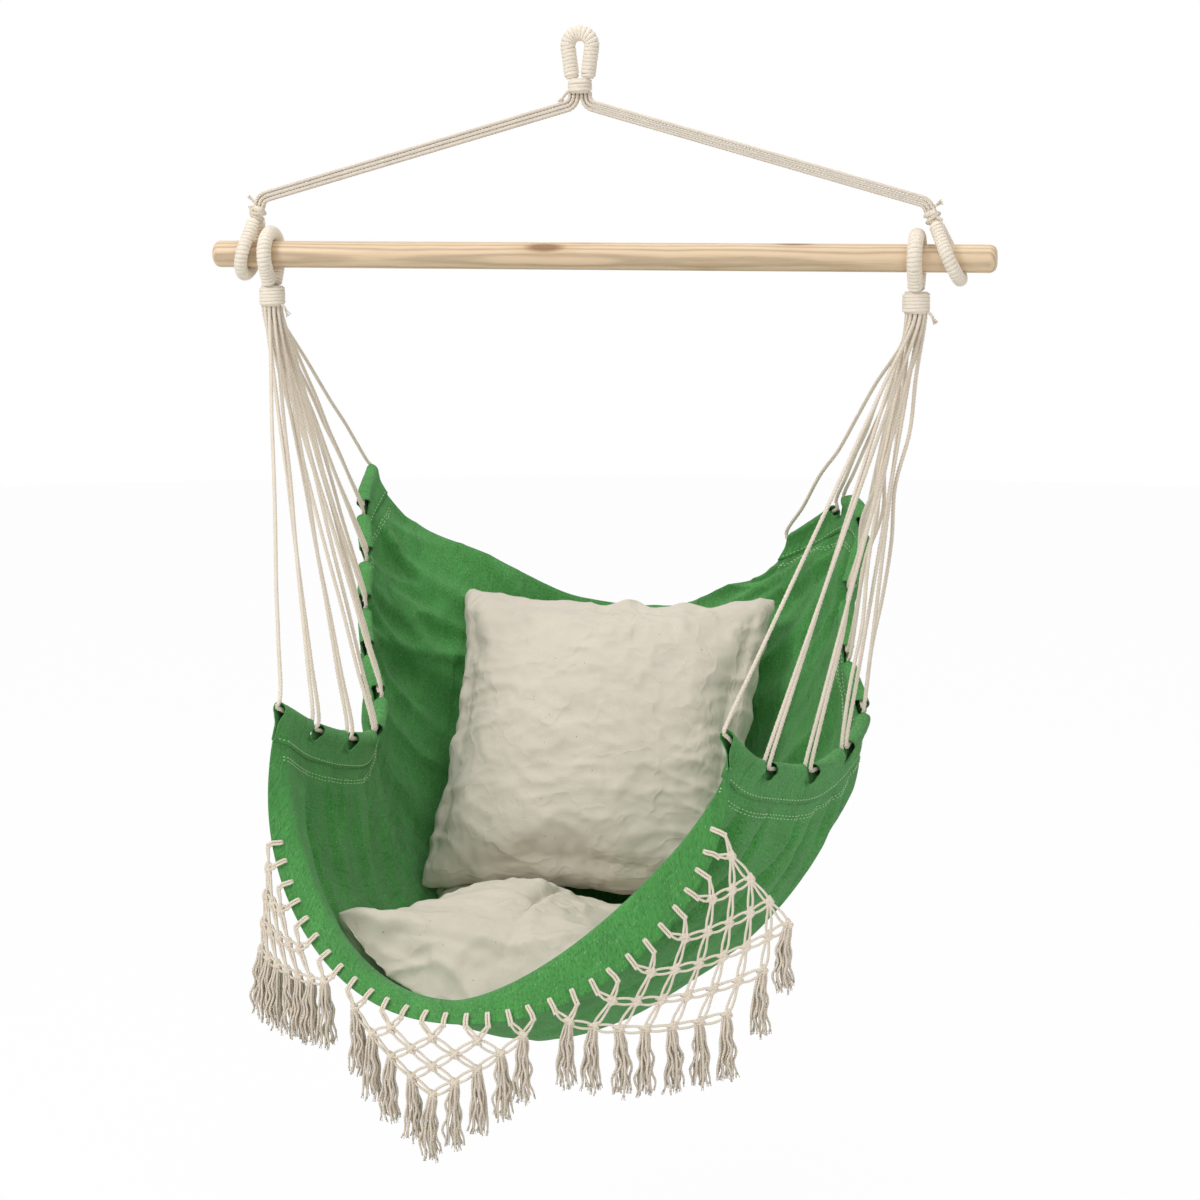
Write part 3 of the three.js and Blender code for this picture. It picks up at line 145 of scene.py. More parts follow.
# The sizes of the finish, in millimetres
CORE_LAP = 0.4  # how far a core reaches under the cord wound on it
WOUND_SIDES, WOUND_STEPS, WOUND_SPREAD, WOUND_MARGIN = 10, 18, 1.04, 1.5
TAPER_START, TAPER_STEPS, LOBE_DEPTH, LOBE_COUNT = 3, 9, 0.11, 3
CORE_STEPS, BOUND_STEPS, BOUND_SIDES, BOUND_GAP = 48, 6, 24, 0.1
CORD_LOFT = 0.15  # how far a cord's fibres stand out
FAN_CORD_RADIUS, TAIL_RADIUS, FIBRE_RADIUS, TIP_RADIUS = 2.85, 2.07, 0.6, 0.5
FRAY_STEPS, FRAY_CURL, FRAY_OPENING, FRAY_ROOT, FRAY_LENGTHS = 3, 0.4, 1.3, 1.4, (0.94, 1.04)
FINE_FIBRES = {"Step": 0.0016, "Sides": 6, "Strands": 2}
TAIL_STRIDES = ((4, 2), (4, 5))  # out and down
TAIL_FRAY = (7, 12, 2.5)  # length, count and spread
SEAM_LAP, STITCH_LIFT = 4, 0.4
STITCH_ROWS = (55, 59)
HEM_STITCH_ROOM, HEM_STITCH_LIFT = 5, 0.35
PILLOW_ROOM, SWELL_LIMIT = 2, 24
SEAM_PLACE, SEAM_RAMP, SEAM_SPREAD = -0.66, 0.07, 0.12
RIDGE_NARROWNESS, RIDGE_SHARPNESS, RIDGE_FLOOR = 3.2, 1.5, 0.25

# The camera, the lamps and the floor, in metres
CAMERA_PLACE = (0.777058, -3.107074, -0.178419)
CAMERA_TILT, CAMERA_TURN, CAMERA_LENS, SENSOR_WIDTH = 0.160090, 0.237335, 76.52, 36
LAMPS = [  # name, place, size, power and target
    ("key_lamp", (-2.2, -2.6, 1.9), 1.6, 72, (0, -0.1, -0.8)),
    ("front_lamp", (2.2, -3.2, 0.6), 2.2, 26, (0, -0.1, -0.8)),
    ("top_lamp", (0.2, 0.4, 2.6), 2.0, 34, (0, 0, -0.7)),
]
FLOOR_RADIUS, FLOOR_ROOM, FLOOR_SIDES, FLOOR_GLOW_SHARE = 9, 0.26, 48, 0.97


# Lines and frames that the pieces follow

def lerp(a, b, part):
    return a + (b - a) * part


def part_turn(part, whole):
    """An angle as a part of a full turn."""
    return 2 * math.pi * part / whole


def ridge(spot):
    """A field of sharp creases over flat ground."""
    height = max(0.0, 1 - RIDGE_NARROWNESS * abs(noise.noise(spot)))
    return height ** RIDGE_SHARPNESS - RIDGE_FLOOR


def smoothstep(value, low, high):
    part = min(1.0, max(0.0, (value - low) / (high - low)))
    return part * part * (3 - 2 * part)


def read_shares(table, at):
    """A value between the rows of a table of shares and values."""
    for (low, before), (high, after) in zip(table, table[1:]):
        if at <= high:
            return lerp(before, after, (at - low) / (high - low))
    return table[-1][1]


def walked(points):
    """The distance to each point along a line of points."""
    reaches = [0.0]
    for here, after in zip(points, points[1:]):
        reaches.append(reaches[-1] + (after - here).length)
    return reaches


def step_at(reaches, distance):
    """The step of a walked line that a distance falls in, and its share of that step."""
    low, high = 0, len(reaches) - 1
    while high - low > 1:
        middle = (low + high) // 2
        if reaches[middle] <= distance:
            low = middle
        else:
            high = middle
    return low, (distance - reaches[low]) / (reaches[high] - reaches[low])


class GuideLine:
    """A smooth line through points, read by its share of the length."""

    STEPS, PROBE = 200, 0.0001

    def __init__(self, points):
        self.points = points
        self.known = {}
        self.reaches = walked([self.at_parameter(i / self.STEPS) for i in range(self.STEPS + 1)])

    @property
    def length(self):
        return self.reaches[-1]

    def at_parameter(self, parameter):
        points = self.points
        place = (len(points) - 1) * parameter
        i = min(int(place), len(points) - 2)
        part = place - i
        b, c = points[i], points[i + 1]
        a = points[i - 1] if i > 0 else 2 * b - c
        d = points[i + 2] if i + 2 < len(points) else 2 * c - b
        before, along, after = (math.sqrt((q - p).length) for p, q in ((a, b), (b, c), (c, d)))
        leave = ((b - a) / before - (c - a) / (before + along) + (c - b) / along) * along
        reach = ((c - b) / along - (d - b) / (along + after) + (d - c) / after) * along
        square = part * part
        cubic = (2 * b - 2 * c + leave + reach) * (square * part)
        return b + leave * part + (3 * c - 3 * b - 2 * leave - reach) * square + cubic

    def parameter(self, share):
        step, part = step_at(self.reaches, share * self.length)
        return (step + part) / self.STEPS

    def at(self, share):
        if share not in self.known:
            self.known[share] = self.at_parameter(self.parameter(share))
        return self.known[share].copy()

    def heading(self, share):
        middle = self.parameter(share)
        ends = [min(1.0, max(0.0, middle + step)) for step in (-self.PROBE, self.PROBE)]
        return (self.at_parameter(ends[1]) - self.at_parameter(ends[0])).normalized()


def smooth_line(points, steps):
    """The same line as a list of close points, with a few steps from each point to the next."""
    line = GuideLine(points)
    count = steps * (len(points) - 1)
    return [line.at_parameter(i / count) for i in range(count + 1)]


def seat_line(shares):
    size = (SEAT_HALF_WIDTH, SEAT_DEPTH, -SEAT_DROP)
    return GuideLine([
        Vector([share * whole for share, whole in zip(triple, size)]) + SEAT_SHIFT
        for triple in shares
    ])


EDGES = {-1: seat_line(LEFT_EDGE_SHARES), 1: seat_line(RIGHT_EDGE_SHARES)}
KEEL = seat_line(KEEL_SHARES)


class Section:
    """Half of the seat's section, from its edge down to the keel, walked by distance."""

    known = {}

    def __init__(self, side, share):
        edge, low = EDGES[side].at(share), KEEL.at(share)
        power = 2 / read_shares(FULLNESS[side], share)
        bulge = side * WALL_BULGE * read_shares(BULGE[side], share)
        self.points = []
        for i in range(SECTION_STEPS + 1):
            angle = math.pi / 2 * i / SECTION_STEPS
            out = max(0.0, math.cos(angle)) ** power
            fall = math.sin(angle) ** power
            x = lerp(low.x, edge.x, out) + bulge * 4 * fall * (1 - fall)
            point = (x, lerp(low.y, edge.y, out * out), lerp(edge.z, low.z, fall))
            self.points.append(Vector(point))
        self.reaches = walked(self.points)
        self.length = self.reaches[-1]

    @classmethod
    def at(cls, side, share):
        key = (side, share)
        if key not in cls.known:
            cls.known[key] = cls(side, share)
        return cls.known[key]

    def walk(self, distance):
        step, part = step_at(self.reaches, distance)
        return self.points[step].lerp(self.points[step + 1], part)


def side_of(across):
    return -1 if across < 0 else 1


def cloth_point(across, share):
    """A point of the cloth, from -1 at its left edge to 1 at its right one."""
    section = Section.at(side_of(across), share)
    return section.walk(section.length * (1 - abs(across)))


def cloth_inward(across, share):
    """Direction from the cloth into the seat."""
    right = cloth_point(min(1, across + PROBE_SHARE), share)
    left = cloth_point(max(-1, across - PROBE_SHARE), share)
    here = cloth_point(across, share)
    before = here - cloth_point(across, max(0, share - PROBE_SHARE))
    after = cloth_point(across, min(1, share + PROBE_SHARE)) - here
    return (right - left).cross(before.normalized() + after.normalized()).normalized()


def seam_share(side, share, overlap=0):
    """How far across the cloth its seam with the casing lies."""
    return 1 - (CASING_DEPTH - overlap) / Section.at(side, share).length


def fold_offset(across, share):
    """The folds of the solid: gathers below the tabs and long folds in the back."""
    wall = min(1, abs(across) / seam_share(side_of(across), share))
    gather = math.sin(2 * math.pi * share * GATHER_COUNT) * math.sin(math.pi * wall) ** 2 * wall
    back = smoothstep(share, FOLD_START_SHARE, 1)
    long = math.cos(math.pi * FOLD_COUNT * across) * (1 - wall ** 4) * back
    return GATHER_DEPTH * gather + FOLD_DEPTH * long


def cloth_face(across, share, offset):
    push = offset + fold_offset(across, share)
    return cloth_point(across, share) + cloth_inward(across, share) * push


class TunnelFrame:
    """The casing's line at a share of the way back, with its directions."""

    def __init__(self, side, share):
        section = Section.at(side, share)
        foot = section.walk(CASING_DEPTH) - section.points[0]
        self.point = EDGES[side].at(share)
        self.depth = foot.length
        self.down = foot.normalized()
        self.along = EDGES[side].heading(share)
        self.inward = (self.down.cross(self.along) * -side).normalized()

    def place(self, along, down, inward):
        return self.point + self.along * along + self.down * down + self.inward * inward


class Teardrop:
    """Two straight legs and the arc between them, in a plane."""

    def __init__(self, centre, across, along, arc_radius, half, reach):
        self.centre, self.across, self.along, self.arc_radius = centre, across, along, arc_radius
        leg_end = Vector((half, -reach))
        spread = math.acos(arc_radius / leg_end.length)
        self.start_angle = math.atan2(-reach, half) + spread
        self.arc_length = arc_radius * (math.pi - 2 * self.start_angle)
        self.leg_length = math.sqrt(leg_end.length_squared - arc_radius ** 2)
        self.length = self.arc_length + 2 * self.leg_length

    def lift(self, x, y):
        return self.across * x + self.along * y

    def at(self, distance):
        past = distance - self.leg_length
        over_arc = min(self.arc_length, max(0.0, past))
        angle = self.start_angle + over_arc / self.arc_radius
        cos, sin = math.cos(angle), math.sin(angle)
        run = past - over_arc
        x = cos * self.arc_radius - sin * run
        y = sin * self.arc_radius + cos * run
        return self.centre + self.lift(x, y), self.lift(-sin, cos), self.lift(-cos, -sin)

    def overhang(self, core_radius):
        return core_radius * math.sin(abs(self.start_angle)) + TOUCH


class StraightRun:
    """A straight core with the same manner of stations as a teardrop."""

    def __init__(self, start, heading, length):
        self.start, self.heading, self.length = start, heading, length
        inward = Y_AXIS if abs(heading.z) > 0.7 else Z_AXIS
        self.inward = (inward - heading * inward.dot(heading)).normalized()

    def at(self, distance):
        return self.start + self.heading * distance, self.heading, self.inward


def around_core(path, distance, angle):
    """A core's middle, its heading and the way out of it at an angle."""
    point, heading, inward = path.at(distance)
    out = inward * math.cos(angle) + heading.cross(inward) * math.sin(angle)
    return point, heading, out


def eye_frame():
    """The path of the hanging eye and the height of the neck below it."""
    arc = EYE_INNER_RADIUS + EYE_STRAND_RADIUS
    centre = Vector((0, 0, -EYE_INNER_RADIUS))
    half = EYE_STRAND_RADIUS + TOUCH
    path = Teardrop(centre, X_AXIS, Z_AXIS, arc, half, EYE_LEG_DROP - EYE_INNER_RADIUS)
    return path, -EYE_LEG_DROP - path.overhang(EYE_STRAND_RADIUS - WHIP_HEIGHT - 1)


def bridle_frame(side):
    """The middle of an upper loop, the way up from it and its path."""
    x, tilt = BRIDLE_LOOP_PLACES[side]
    rise = Vector((-side * math.sin(tilt), 0, math.cos(tilt)))
    centre = Vector((x, 0, -BAR_DROP))
    arc = (BAR_RADIUS + TOUCH) / math.cos(tilt) + BRIDLE_LOOP_RADIUS
    half = BRIDLE_LOOP_RADIUS + TOUCH
    return centre, rise, Teardrop(centre, Y_AXIS, -rise, arc, half, BRIDLE_LOOP_RISE)


def clew_frame(side):
    """The path of a lower loop and the top of the binding below it."""
    x = CLEW_PLACES[side]
    arc = BAR_RADIUS + LOOP_GAP + CLEW_LOOP_RADIUS
    half = CLEW_LOOP_RADIUS + TOUCH
    path = Teardrop(Vector((x, 0, -BAR_DROP)), Y_AXIS, Z_AXIS, arc, half, CLEW_LOOP_DROP)
    top = -BAR_DROP - CLEW_LOOP_DROP - path.overhang(CLEW_LOOP_RADIUS - WHIP_HEIGHT - 1)
    return path, Vector((x, 0, top))


# Meshes

def linked(name, data):
    """A new object in the scene."""
    made = bpy.data.objects.new(name, data)
    bpy.context.scene.collection.objects.link(made)
    return made


def new_object(name, mesh, material, smooth=True):
    mesh.name = name
    piece = linked(name, mesh)
    mesh.materials.clear()
    mesh.materials.append(material)
    for polygon in mesh.polygons:
        polygon.use_smooth = smooth
    return piece


def fitted(piece, body, slot, *nodes):
    """Says which body a piece rides and which solids it stands for, and hides those solids. The
    finish slot is not used.
    """
    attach(piece, body)
    if nodes:
        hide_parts(*nodes)
    return piece


def evaluated_mesh(holder):
    """The mesh that an object shows with its modifiers."""
    graph = bpy.context.evaluated_depsgraph_get()
    return bpy.data.meshes.new_from_object(holder.evaluated_get(graph))


def unroll(mesh, flat):
    """Gives a cloth its places on the flat as UVs in metres."""
    layer = mesh.uv_layers.new(name="cloth")
    for loop in mesh.loops:
        layer.data[loop.index].uv = [part * MM for part in flat[loop.vertex_index]]


def mesh_of(name, points, faces, edges=()):
    """A mesh in metres from points in millimetres."""
    mesh = bpy.data.meshes.new(name)
    mesh.from_pydata([point * MM for point in points], edges, faces)
    mesh.validate()
    mesh.update()
    return mesh


def face_out(mesh):
    """Makes the faces of a closed shape point outward."""
    working = bmesh.new()
    working.from_mesh(mesh)
    bmesh.ops.remove_doubles(working, verts=working.verts, dist=1e-6)
    bmesh.ops.recalc_face_normals(working, faces=working.faces)
    working.to_mesh(mesh)
    working.free()
    mesh.update()


def surface_of(mesh):
    """A mesh's surface, for finding the nearest point on it."""
    points = [vertex.co for vertex in mesh.vertices]
    return BVHTree.FromPolygons(points, [polygon.vertices[:] for polygon in mesh.polygons])


def skin_over(rings):
    """Points and faces of a closed skin over rings of points."""
    count = len(rings[0])
    points = [point for ring in rings for point in ring]
    faces = []
    for r in range(len(rings) - 1):
        for i in range(count):
            a, b = r * count + i, r * count + (i + 1) % count
            faces.append((a, b, b + count, a + count))
    faces.append(tuple(reversed(range(count))))
    last = (len(rings) - 1) * count
    faces.append(tuple(range(last, last + count)))
    return points, faces


def joined(parts):
    """Several lists of points and faces as one."""
    points, faces = [], []
    for more, shapes in parts:
        start = len(points)
        points.extend(more)
        faces.extend(tuple(start + i for i in shape) for shape in shapes)
    return points, faces


def core_skin(path, radius, steps, sides=20, end=0):
    """A round core along a path, longer by a little at each end."""
    rings = []
    for i in range(steps + 1):
        distance = -end + (path.length + 2 * end) * i / steps
        ring = []
        for k in range(sides):
            point, _, out = around_core(path, distance, part_turn(k, sides))
            ring.append(point + out * radius)
        rings.append(ring)
    return skin_over(rings)


def wound_cord(path, inner, pitch, lay, margin=WOUND_MARGIN):
    """One twisted cord wound close round a core, flattened a little against it."""
    span = path.length - 2 * margin
    turns = max(2, round(span / pitch))
    count = turns * WOUND_STEPS
    half_height = WHIP_HEIGHT / 2
    rings = []
    travelled, last = 0.0, None
    for i in range(count + 1):
        distance = margin + span * i / count
        angle = part_turn(i, WOUND_STEPS)
        point, heading, out = around_core(path, distance, angle)
        rail = [
            around_core(path, distance + step * span / turns, angle) for step in (-0.5, 0.5)
        ]
        ends = [p + o * (inner + half_height) for p, _, o in rail]
        half_width = (ends[1] - ends[0]).length / 2 * WOUND_SPREAD
        taper = min(1.0, (min(i, count - i) + TAPER_START) / TAPER_STEPS)
        centre = point + out * (inner + half_height)
        travelled += (centre - last).length if last else 0
        last = centre
        twist = part_turn(travelled, lay)
        ring = []
        for k in range(WOUND_SIDES):
            around = part_turn(k, WOUND_SIDES)
            lobe = (1 + LOBE_DEPTH * math.cos(LOBE_COUNT * (around - twist))) * taper
            reach = heading * (half_width * math.cos(around) * lobe)
            ring.append(centre + reach + out * (half_height * math.sin(around) * lobe))
        rings.append(ring)
    return skin_over(rings)


# Node trees

class Value:
    """A socket of a node tree. Arithmetic on it adds Math nodes."""

    def __init__(self, tree, socket):
        self.tree, self.socket = tree, socket

    def math(self, operation, *others):
        values = dict(enumerate((self, *others)))
        return self.tree.add("ShaderNodeMath", {"operation": operation}, values)

    def reflected(self, operation, other):
        return self.tree.add("ShaderNodeMath", {"operation": operation}, {0: other, 1: self})

    def __add__(self, other):
        return self.math("ADD", other)

    def __sub__(self, other):
        return self.math("SUBTRACT", other)

    def __mul__(self, other):
        return self.math("MULTIPLY", other)

    def __truediv__(self, other):
        return self.math("DIVIDE", other)

    def __pow__(self, other):
        return self.math("POWER", other)

    __radd__ = __add__
    __rmul__ = __mul__

    def __rsub__(self, other):
        return self.reflected("SUBTRACT", other)

    def __rtruediv__(self, other):
        return self.reflected("DIVIDE", other)


class Tree:
    """Adds nodes to a shader or geometry tree."""

    def __init__(self, nodes):
        self.nodes = nodes

    def node(self, kind, settings=None, values=None):
        """A node of a kind, its settings first, then the values or links of its sockets."""
        made = self.nodes.nodes.new(kind)
        for name, value in (settings or {}).items():
            if name == "stops":
                ramp = made.color_ramp
                for position, _ in value[1:-1]:
                    ramp.elements.new(position)
                for element, (position, colour) in zip(ramp.elements, value):
                    element.position, element.color = position, (*colour, 1)
            else:
                setattr(made, name, value)
        for key, value in (values or {}).items():
            socket = made.inputs[key]
            if isinstance(value, Value):
                self.nodes.links.new(value.socket, socket)
            else:
                socket.default_value = value
        return made

    def add(self, kind, settings=None, values=None, output=0):
        return Value(self, self.node(kind, settings, values).outputs[output])

    def scaled(self, vector, scale):
        settings = {"operation": "MULTIPLY"}
        return self.add("ShaderNodeVectorMath", settings, {0: vector, 1: scale})

    def noise(self, vector, scale, detail=3.0, roughness=0.5):
        values = {"Vector": vector, "Scale": scale, "Detail": detail, "Roughness": roughness}
        return self.add("ShaderNodeTexNoise", None, values)

    def ridges(self, vector, roughness):
        """Sharp crests where a noise passes its middle."""
        return 1 - (self.noise(vector, 1, 3, roughness) * 2 - 1).math("ABSOLUTE")

    def mix(self, factor, first, second):
        settings = {"data_type": "RGBA", "blend_type": "MIX"}
        colours = {0: factor}
        for key, colour in ((6, first), (7, second)):
            colours[key] = colour if isinstance(colour, Value) else (*colour, 1)
        return self.add("ShaderNodeMix", settings, colours, 2)

    def split(self, vector):
        made = self.node("ShaderNodeSeparateXYZ", None, {0: vector})
        return [Value(self, socket) for socket in made.outputs]

    def ramp(self, value, stops):
        return self.add("ShaderNodeValToRGB", {"stops": stops}, {0: value})

    def limited(self, value, low, high):
        """The value's way from low to high, from 0 to 1."""
        values = {"Value": value, "From Min": low, "From Max": high}
        return self.add("ShaderNodeMapRange", {"clamp": True}, values)

    def bump(self, height, distance, normal=None, strength=1.0):
        values = {"Height": height, "Distance": distance, "Strength": strength}
        if normal:
            values["Normal"] = normal
        return self.add("ShaderNodeBump", None, values)


def new_material(name):
    material = bpy.data.materials.new(name)
    material.use_nodes = True
    material.node_tree.nodes.clear()
    return material, Tree(material.node_tree)


def finish_surface(tree, colour, roughness, normal, sheen=0.0, coat=0.0):
    values = {"Base Color": colour, "Roughness": roughness, "Normal": normal}
    values.update({"Sheen Weight": sheen, "Sheen Roughness": 0.5, "Coat Weight": coat})
    values["Specular IOR Level"] = 0.3
    surface = tree.add("ShaderNodeBsdfPrincipled", None, values)
    tree.node("ShaderNodeOutputMaterial", None, {"Surface": surface})


def shade(colour, factor):
    return tuple(channel * factor for channel in colour)


def cotton_material(name, colour, fibre):
    """Soft twisted cotton: creamy strands with painted shade in their grooves, loose fibres and
    specks.
    """
    material, tree = new_material(name)
    place = tree.add("ShaderNodeTexCoord", None, None, "Object")
    groove = tree.add("ShaderNodeAttribute", {"attribute_name": "groove"}, None, "Fac")
    broad = tree.noise(place, 38, 2)
    fine = tree.noise(place, 1 / fibre, 4, 0.65)
    specks = tree.limited(tree.noise(place, 520, 1), 0.7, 0.78)
    warm = tree.mix(tree.limited(broad, 0.35, 0.65), shade(colour, 0.95), shade(colour, 1.06))
    red, green, blue = colour
    toned = tree.mix(tree.limited(fine, 0.3, 0.7), (red * 0.86, green * 0.79, blue * 0.69), warm)
    speckled = tree.mix(specks * 0.35, toned, (0.35, 0.26, 0.15))
    # Painted shade: the grooves between the strands are darkened towards a warm brown in the
    # colour
    groove_painted_shade = tree.mix(groove * 0.38, speckled, (red * 0.62, green * 0.5, blue * 0.37))
    height = fine + tree.noise(place, 0.35 / fibre, 2) * 0.6
    normal = tree.bump(height, 0.0005, None, 0.8)
    finish_surface(tree, groove_painted_shade, 0.78 + fine * 0.2, normal, 0.25)
    return material


def weave(tree, place, pitch):
    """Height of a plain weave with uneven threads, and the slubs of its threads."""
    across, along, _ = tree.split(place)
    wobble = tree.noise(place, 60, 2) * 0.9
    turns = 2 * math.pi / pitch
    warp = (across * turns + wobble).math("SINE")
    weft = (along * turns + wobble).math("SINE")
    over = (across * (turns / 2)).math("SINE") * (along * (turns / 2)).math("SINE")
    height = warp * 0.3 + weft * 0.3 + over * 0.4
    threads = tree.noise(tree.scaled(place, (700, 30, 1)), 1, 3, 0.6)
    picks = tree.noise(tree.scaled(place, (30, 700, 1)), 1, 3, 0.6)
    return height, threads, picks


def canvas_material(name, colour, pitch, crumple):
    """Dyed cotton canvas: plain weave, pale slubs, faded creases and fine crumples."""
    material, tree = new_material(name)
    place = tree.add("ShaderNodeUVMap", {"uv_map": "cloth"})
    height, threads, picks = weave(tree, place, pitch)
    mottle = tree.noise(place, 22, 4, 0.6)
    base = tree.mix(tree.limited(mottle, 0.3, 0.7), shade(colour, 0.82), shade(colour, 1.12))
    lit = tuple(min(1, channel * 1.3 + 0.045) for channel in colour)
    slubs = tree.limited(threads, 0.56, 0.72) * 0.6 + tree.limited(picks, 0.56, 0.72) * 0.6
    dyed = tree.mix(slubs, base, lit)
    grain = tree.noise(place, 380, 2, 0.6)
    dark = tree.limited(grain, 0.5, 0.34) * 0.75
    toned = tree.mix(dark, dyed, shade(colour, 0.55))
    lint = tree.limited(tree.noise(place, 430, 1, 0.5), 0.66, 0.74) * 0.5
    finished = tree.mix(lint, toned, (0.5, 0.68, 0.4))
    creases = tree.noise(tree.scaled(place, (16, 7, 1)), 1, 5, 0.62)
    ridges = tree.ridges(tree.scaled(place, (24, 9, 1)), 0.6)
    thread_bump = tree.bump(height + threads + picks + grain, 0.0008, None, 0.8)
    pressed = tree.bump(ridges ** 7, crumple * 0.8, thread_bump, 0.6)
    normal = tree.bump(creases, crumple, pressed, 0.8)
    finish_surface(tree, finished, 0.82 + mottle * 0.14, normal, 0.15)
    return material


def pillow_material(name, colour, pitch, crumple):
    """Undyed cotton: fine weave, flecks of seed husk and soft pressed wrinkles."""
    material, tree = new_material(name)
    place = tree.add("ShaderNodeTexCoord", None, None, "Object")
    turned = tree.add("ShaderNodeMapping", None, {"Vector": place, "Rotation": (0.57, 0, 0)})
    height, threads, picks = weave(tree, turned, pitch)
    mottle = tree.noise(turned, 9, 4, 0.55)
    base = tree.mix(tree.limited(mottle, 0.3, 0.7), shade(colour, 0.94), shade(colour, 1.04))
    slubs = tree.limited(threads, 0.58, 0.8) * 0.3 + tree.limited(picks, 0.58, 0.8) * 0.3
    toned = tree.mix(slubs, base, shade(colour, 0.88))
    flecks = tree.limited(tree.noise(place, 260, 1, 0.4), 0.775, 0.8)
    finished = tree.mix(flecks * 0.75, toned, (0.28, 0.2, 0.1))
    drift = tree.add(
        "ShaderNodeTexNoise", None, {"Vector": turned, "Scale": 5.0, "Detail": 2.0}, "Color")
    bent = tree.add(
        "ShaderNodeVectorMath", {"operation": "ADD"},
        {0: turned, 1: tree.scaled(drift, (0.06, 0.06, 0.06))})
    ridges = tree.ridges(tree.scaled(bent, (9, 24, 9)), 0.55)
    thread_bump = tree.bump(height + threads * 0.5 + picks * 0.5, 0.00025, None, 0.5)
    soft = tree.bump(tree.noise(bent, 11, 3, 0.5), crumple * 2.2, thread_bump, 0.6)
    normal = tree.bump(ridges ** 6, crumple, soft, 0.5)
    finish_surface(tree, finished, 0.88 + mottle * 0.08, normal, 0.2)
    return material


def wood_material(name, colour):
    """Pale turned softwood under a thin matt oil: long grain, rays and a few knots."""
    material, tree = new_material(name)
    place = tree.add("ShaderNodeTexCoord", None, None, "Object")
    bend = tree.noise(tree.scaled(place, (3, 9, 9)), 1, 3) * 0.02
    _, y, z = tree.split(place)
    waver = tree.noise(tree.scaled(place, (5, 60, 60)), 1, 3) * 5
    rings = (y * 1.7 + z * 0.6 + bend) * 620 + waver
    grain = rings.math("SINE") * 0.5 + 0.5
    fibres = tree.noise(tree.scaled(place, (30, 900, 900)), 1, 4, 0.6)
    spots = tree.node(
        "ShaderNodeTexVoronoi", {"feature": "F1"},
        {"Vector": tree.scaled(place, (6.5, 24, 24)), "Scale": 1.0, "Randomness": 1.0},
    )
    near = Value(tree, spots.outputs["Distance"])
    knot = tree.limited(near, 0.2, 0.1)
    halo = tree.limited(near, 0.36, 0.12) * 0.35
    tone = tree.ramp(grain * 0.55 + fibres * 0.45, [
        (0.12, shade(colour, 0.62)), (0.45, shade(colour, 0.97)), (0.85, shade(colour, 1.1)),
    ])
    haloed = tree.mix(halo, tone, (0.5, 0.29, 0.12))
    finished = tree.mix(knot * 0.75, haloed, (0.2, 0.09, 0.035))
    normal = tree.bump(fibres + grain * 0.4, 0.00025, None, 0.5)
    finish_surface(tree, finished, 0.42 + fibres * 0.2, normal, 0.0, 0.12)
    return material


def thread_material(name, colour):
    """Sewing thread with a fine twist."""
    material, tree = new_material(name)
    place = tree.add("ShaderNodeTexCoord", None, None, "Object")
    twist = tree.noise(place, 1400, 2)
    toned = tree.mix(twist, shade(colour, 0.75), shade(colour, 1.1))
    finish_surface(tree, toned, 0.6 + twist * 0.2, tree.bump(twist, 0.0002), 0.1)
    return material


def grown(name, paths, group, inputs, material, weights=None):
    """What a geometry tree makes of some lines of points, as a plain mesh."""
    points, edges, thickness = [], [], []
    for path in paths:
        start = len(points)
        points.extend(path)
        edges.extend((start + i, start + i + 1) for i in range(len(path) - 1))
        for i in range(len(path)):
            thickness.append(weights(i / (len(path) - 1)) if weights else 1.0)
    line = mesh_of(name + "_line", points, (), edges)
    attribute = line.attributes.new("thickness", "FLOAT", "POINT")
    attribute.data.foreach_set("value", thickness)
    carrier = linked(name + "_line", line)
    modifier = carrier.modifiers.new("growth", "NODES")
    modifier.node_group = group
    sockets = {item.name: item.identifier for item in group.interface.items_tree}
    for label, value in inputs.items():
        modifier[sockets[label]] = value
    modifier[sockets["Material"]] = material
    made = evaluated_mesh(carrier)
    carrier.modifiers.remove(modifier)
    bpy.data.objects.remove(carrier)
    if not made.polygons:
        raise RuntimeError(name + " has no faces")
    return new_object(name, made, material)


def geometry_group(name, numbers):
    """An empty geometry tree with named numbers for its sizes."""
    group = bpy.data.node_groups.new(name, "GeometryNodeTree")
    face = group.interface
    face.new_socket("Geometry", in_out="INPUT", socket_type="NodeSocketGeometry")
    for label, value in numbers.items():
        kind = "NodeSocketInt" if isinstance(value, int) else "NodeSocketFloat"
        face.new_socket(label, in_out="INPUT", socket_type=kind).default_value = value
    face.new_socket("Material", in_out="INPUT", socket_type="NodeSocketMaterial")
    face.new_socket("Geometry", in_out="OUTPUT", socket_type="NodeSocketGeometry")
    tree = Tree(group)
    sockets = tree.node("NodeGroupInput").outputs
    return group, tree, {socket.name: Value(tree, socket) for socket in sockets if socket.name}


def close_group(tree, geometry, material):
    real = tree.add("GeometryNodeRealizeInstances", None, {0: geometry})
    done = tree.add("GeometryNodeSetMaterial", None, {"Geometry": real, "Material": material})
    tree.node("NodeGroupOutput", None, {0: done})


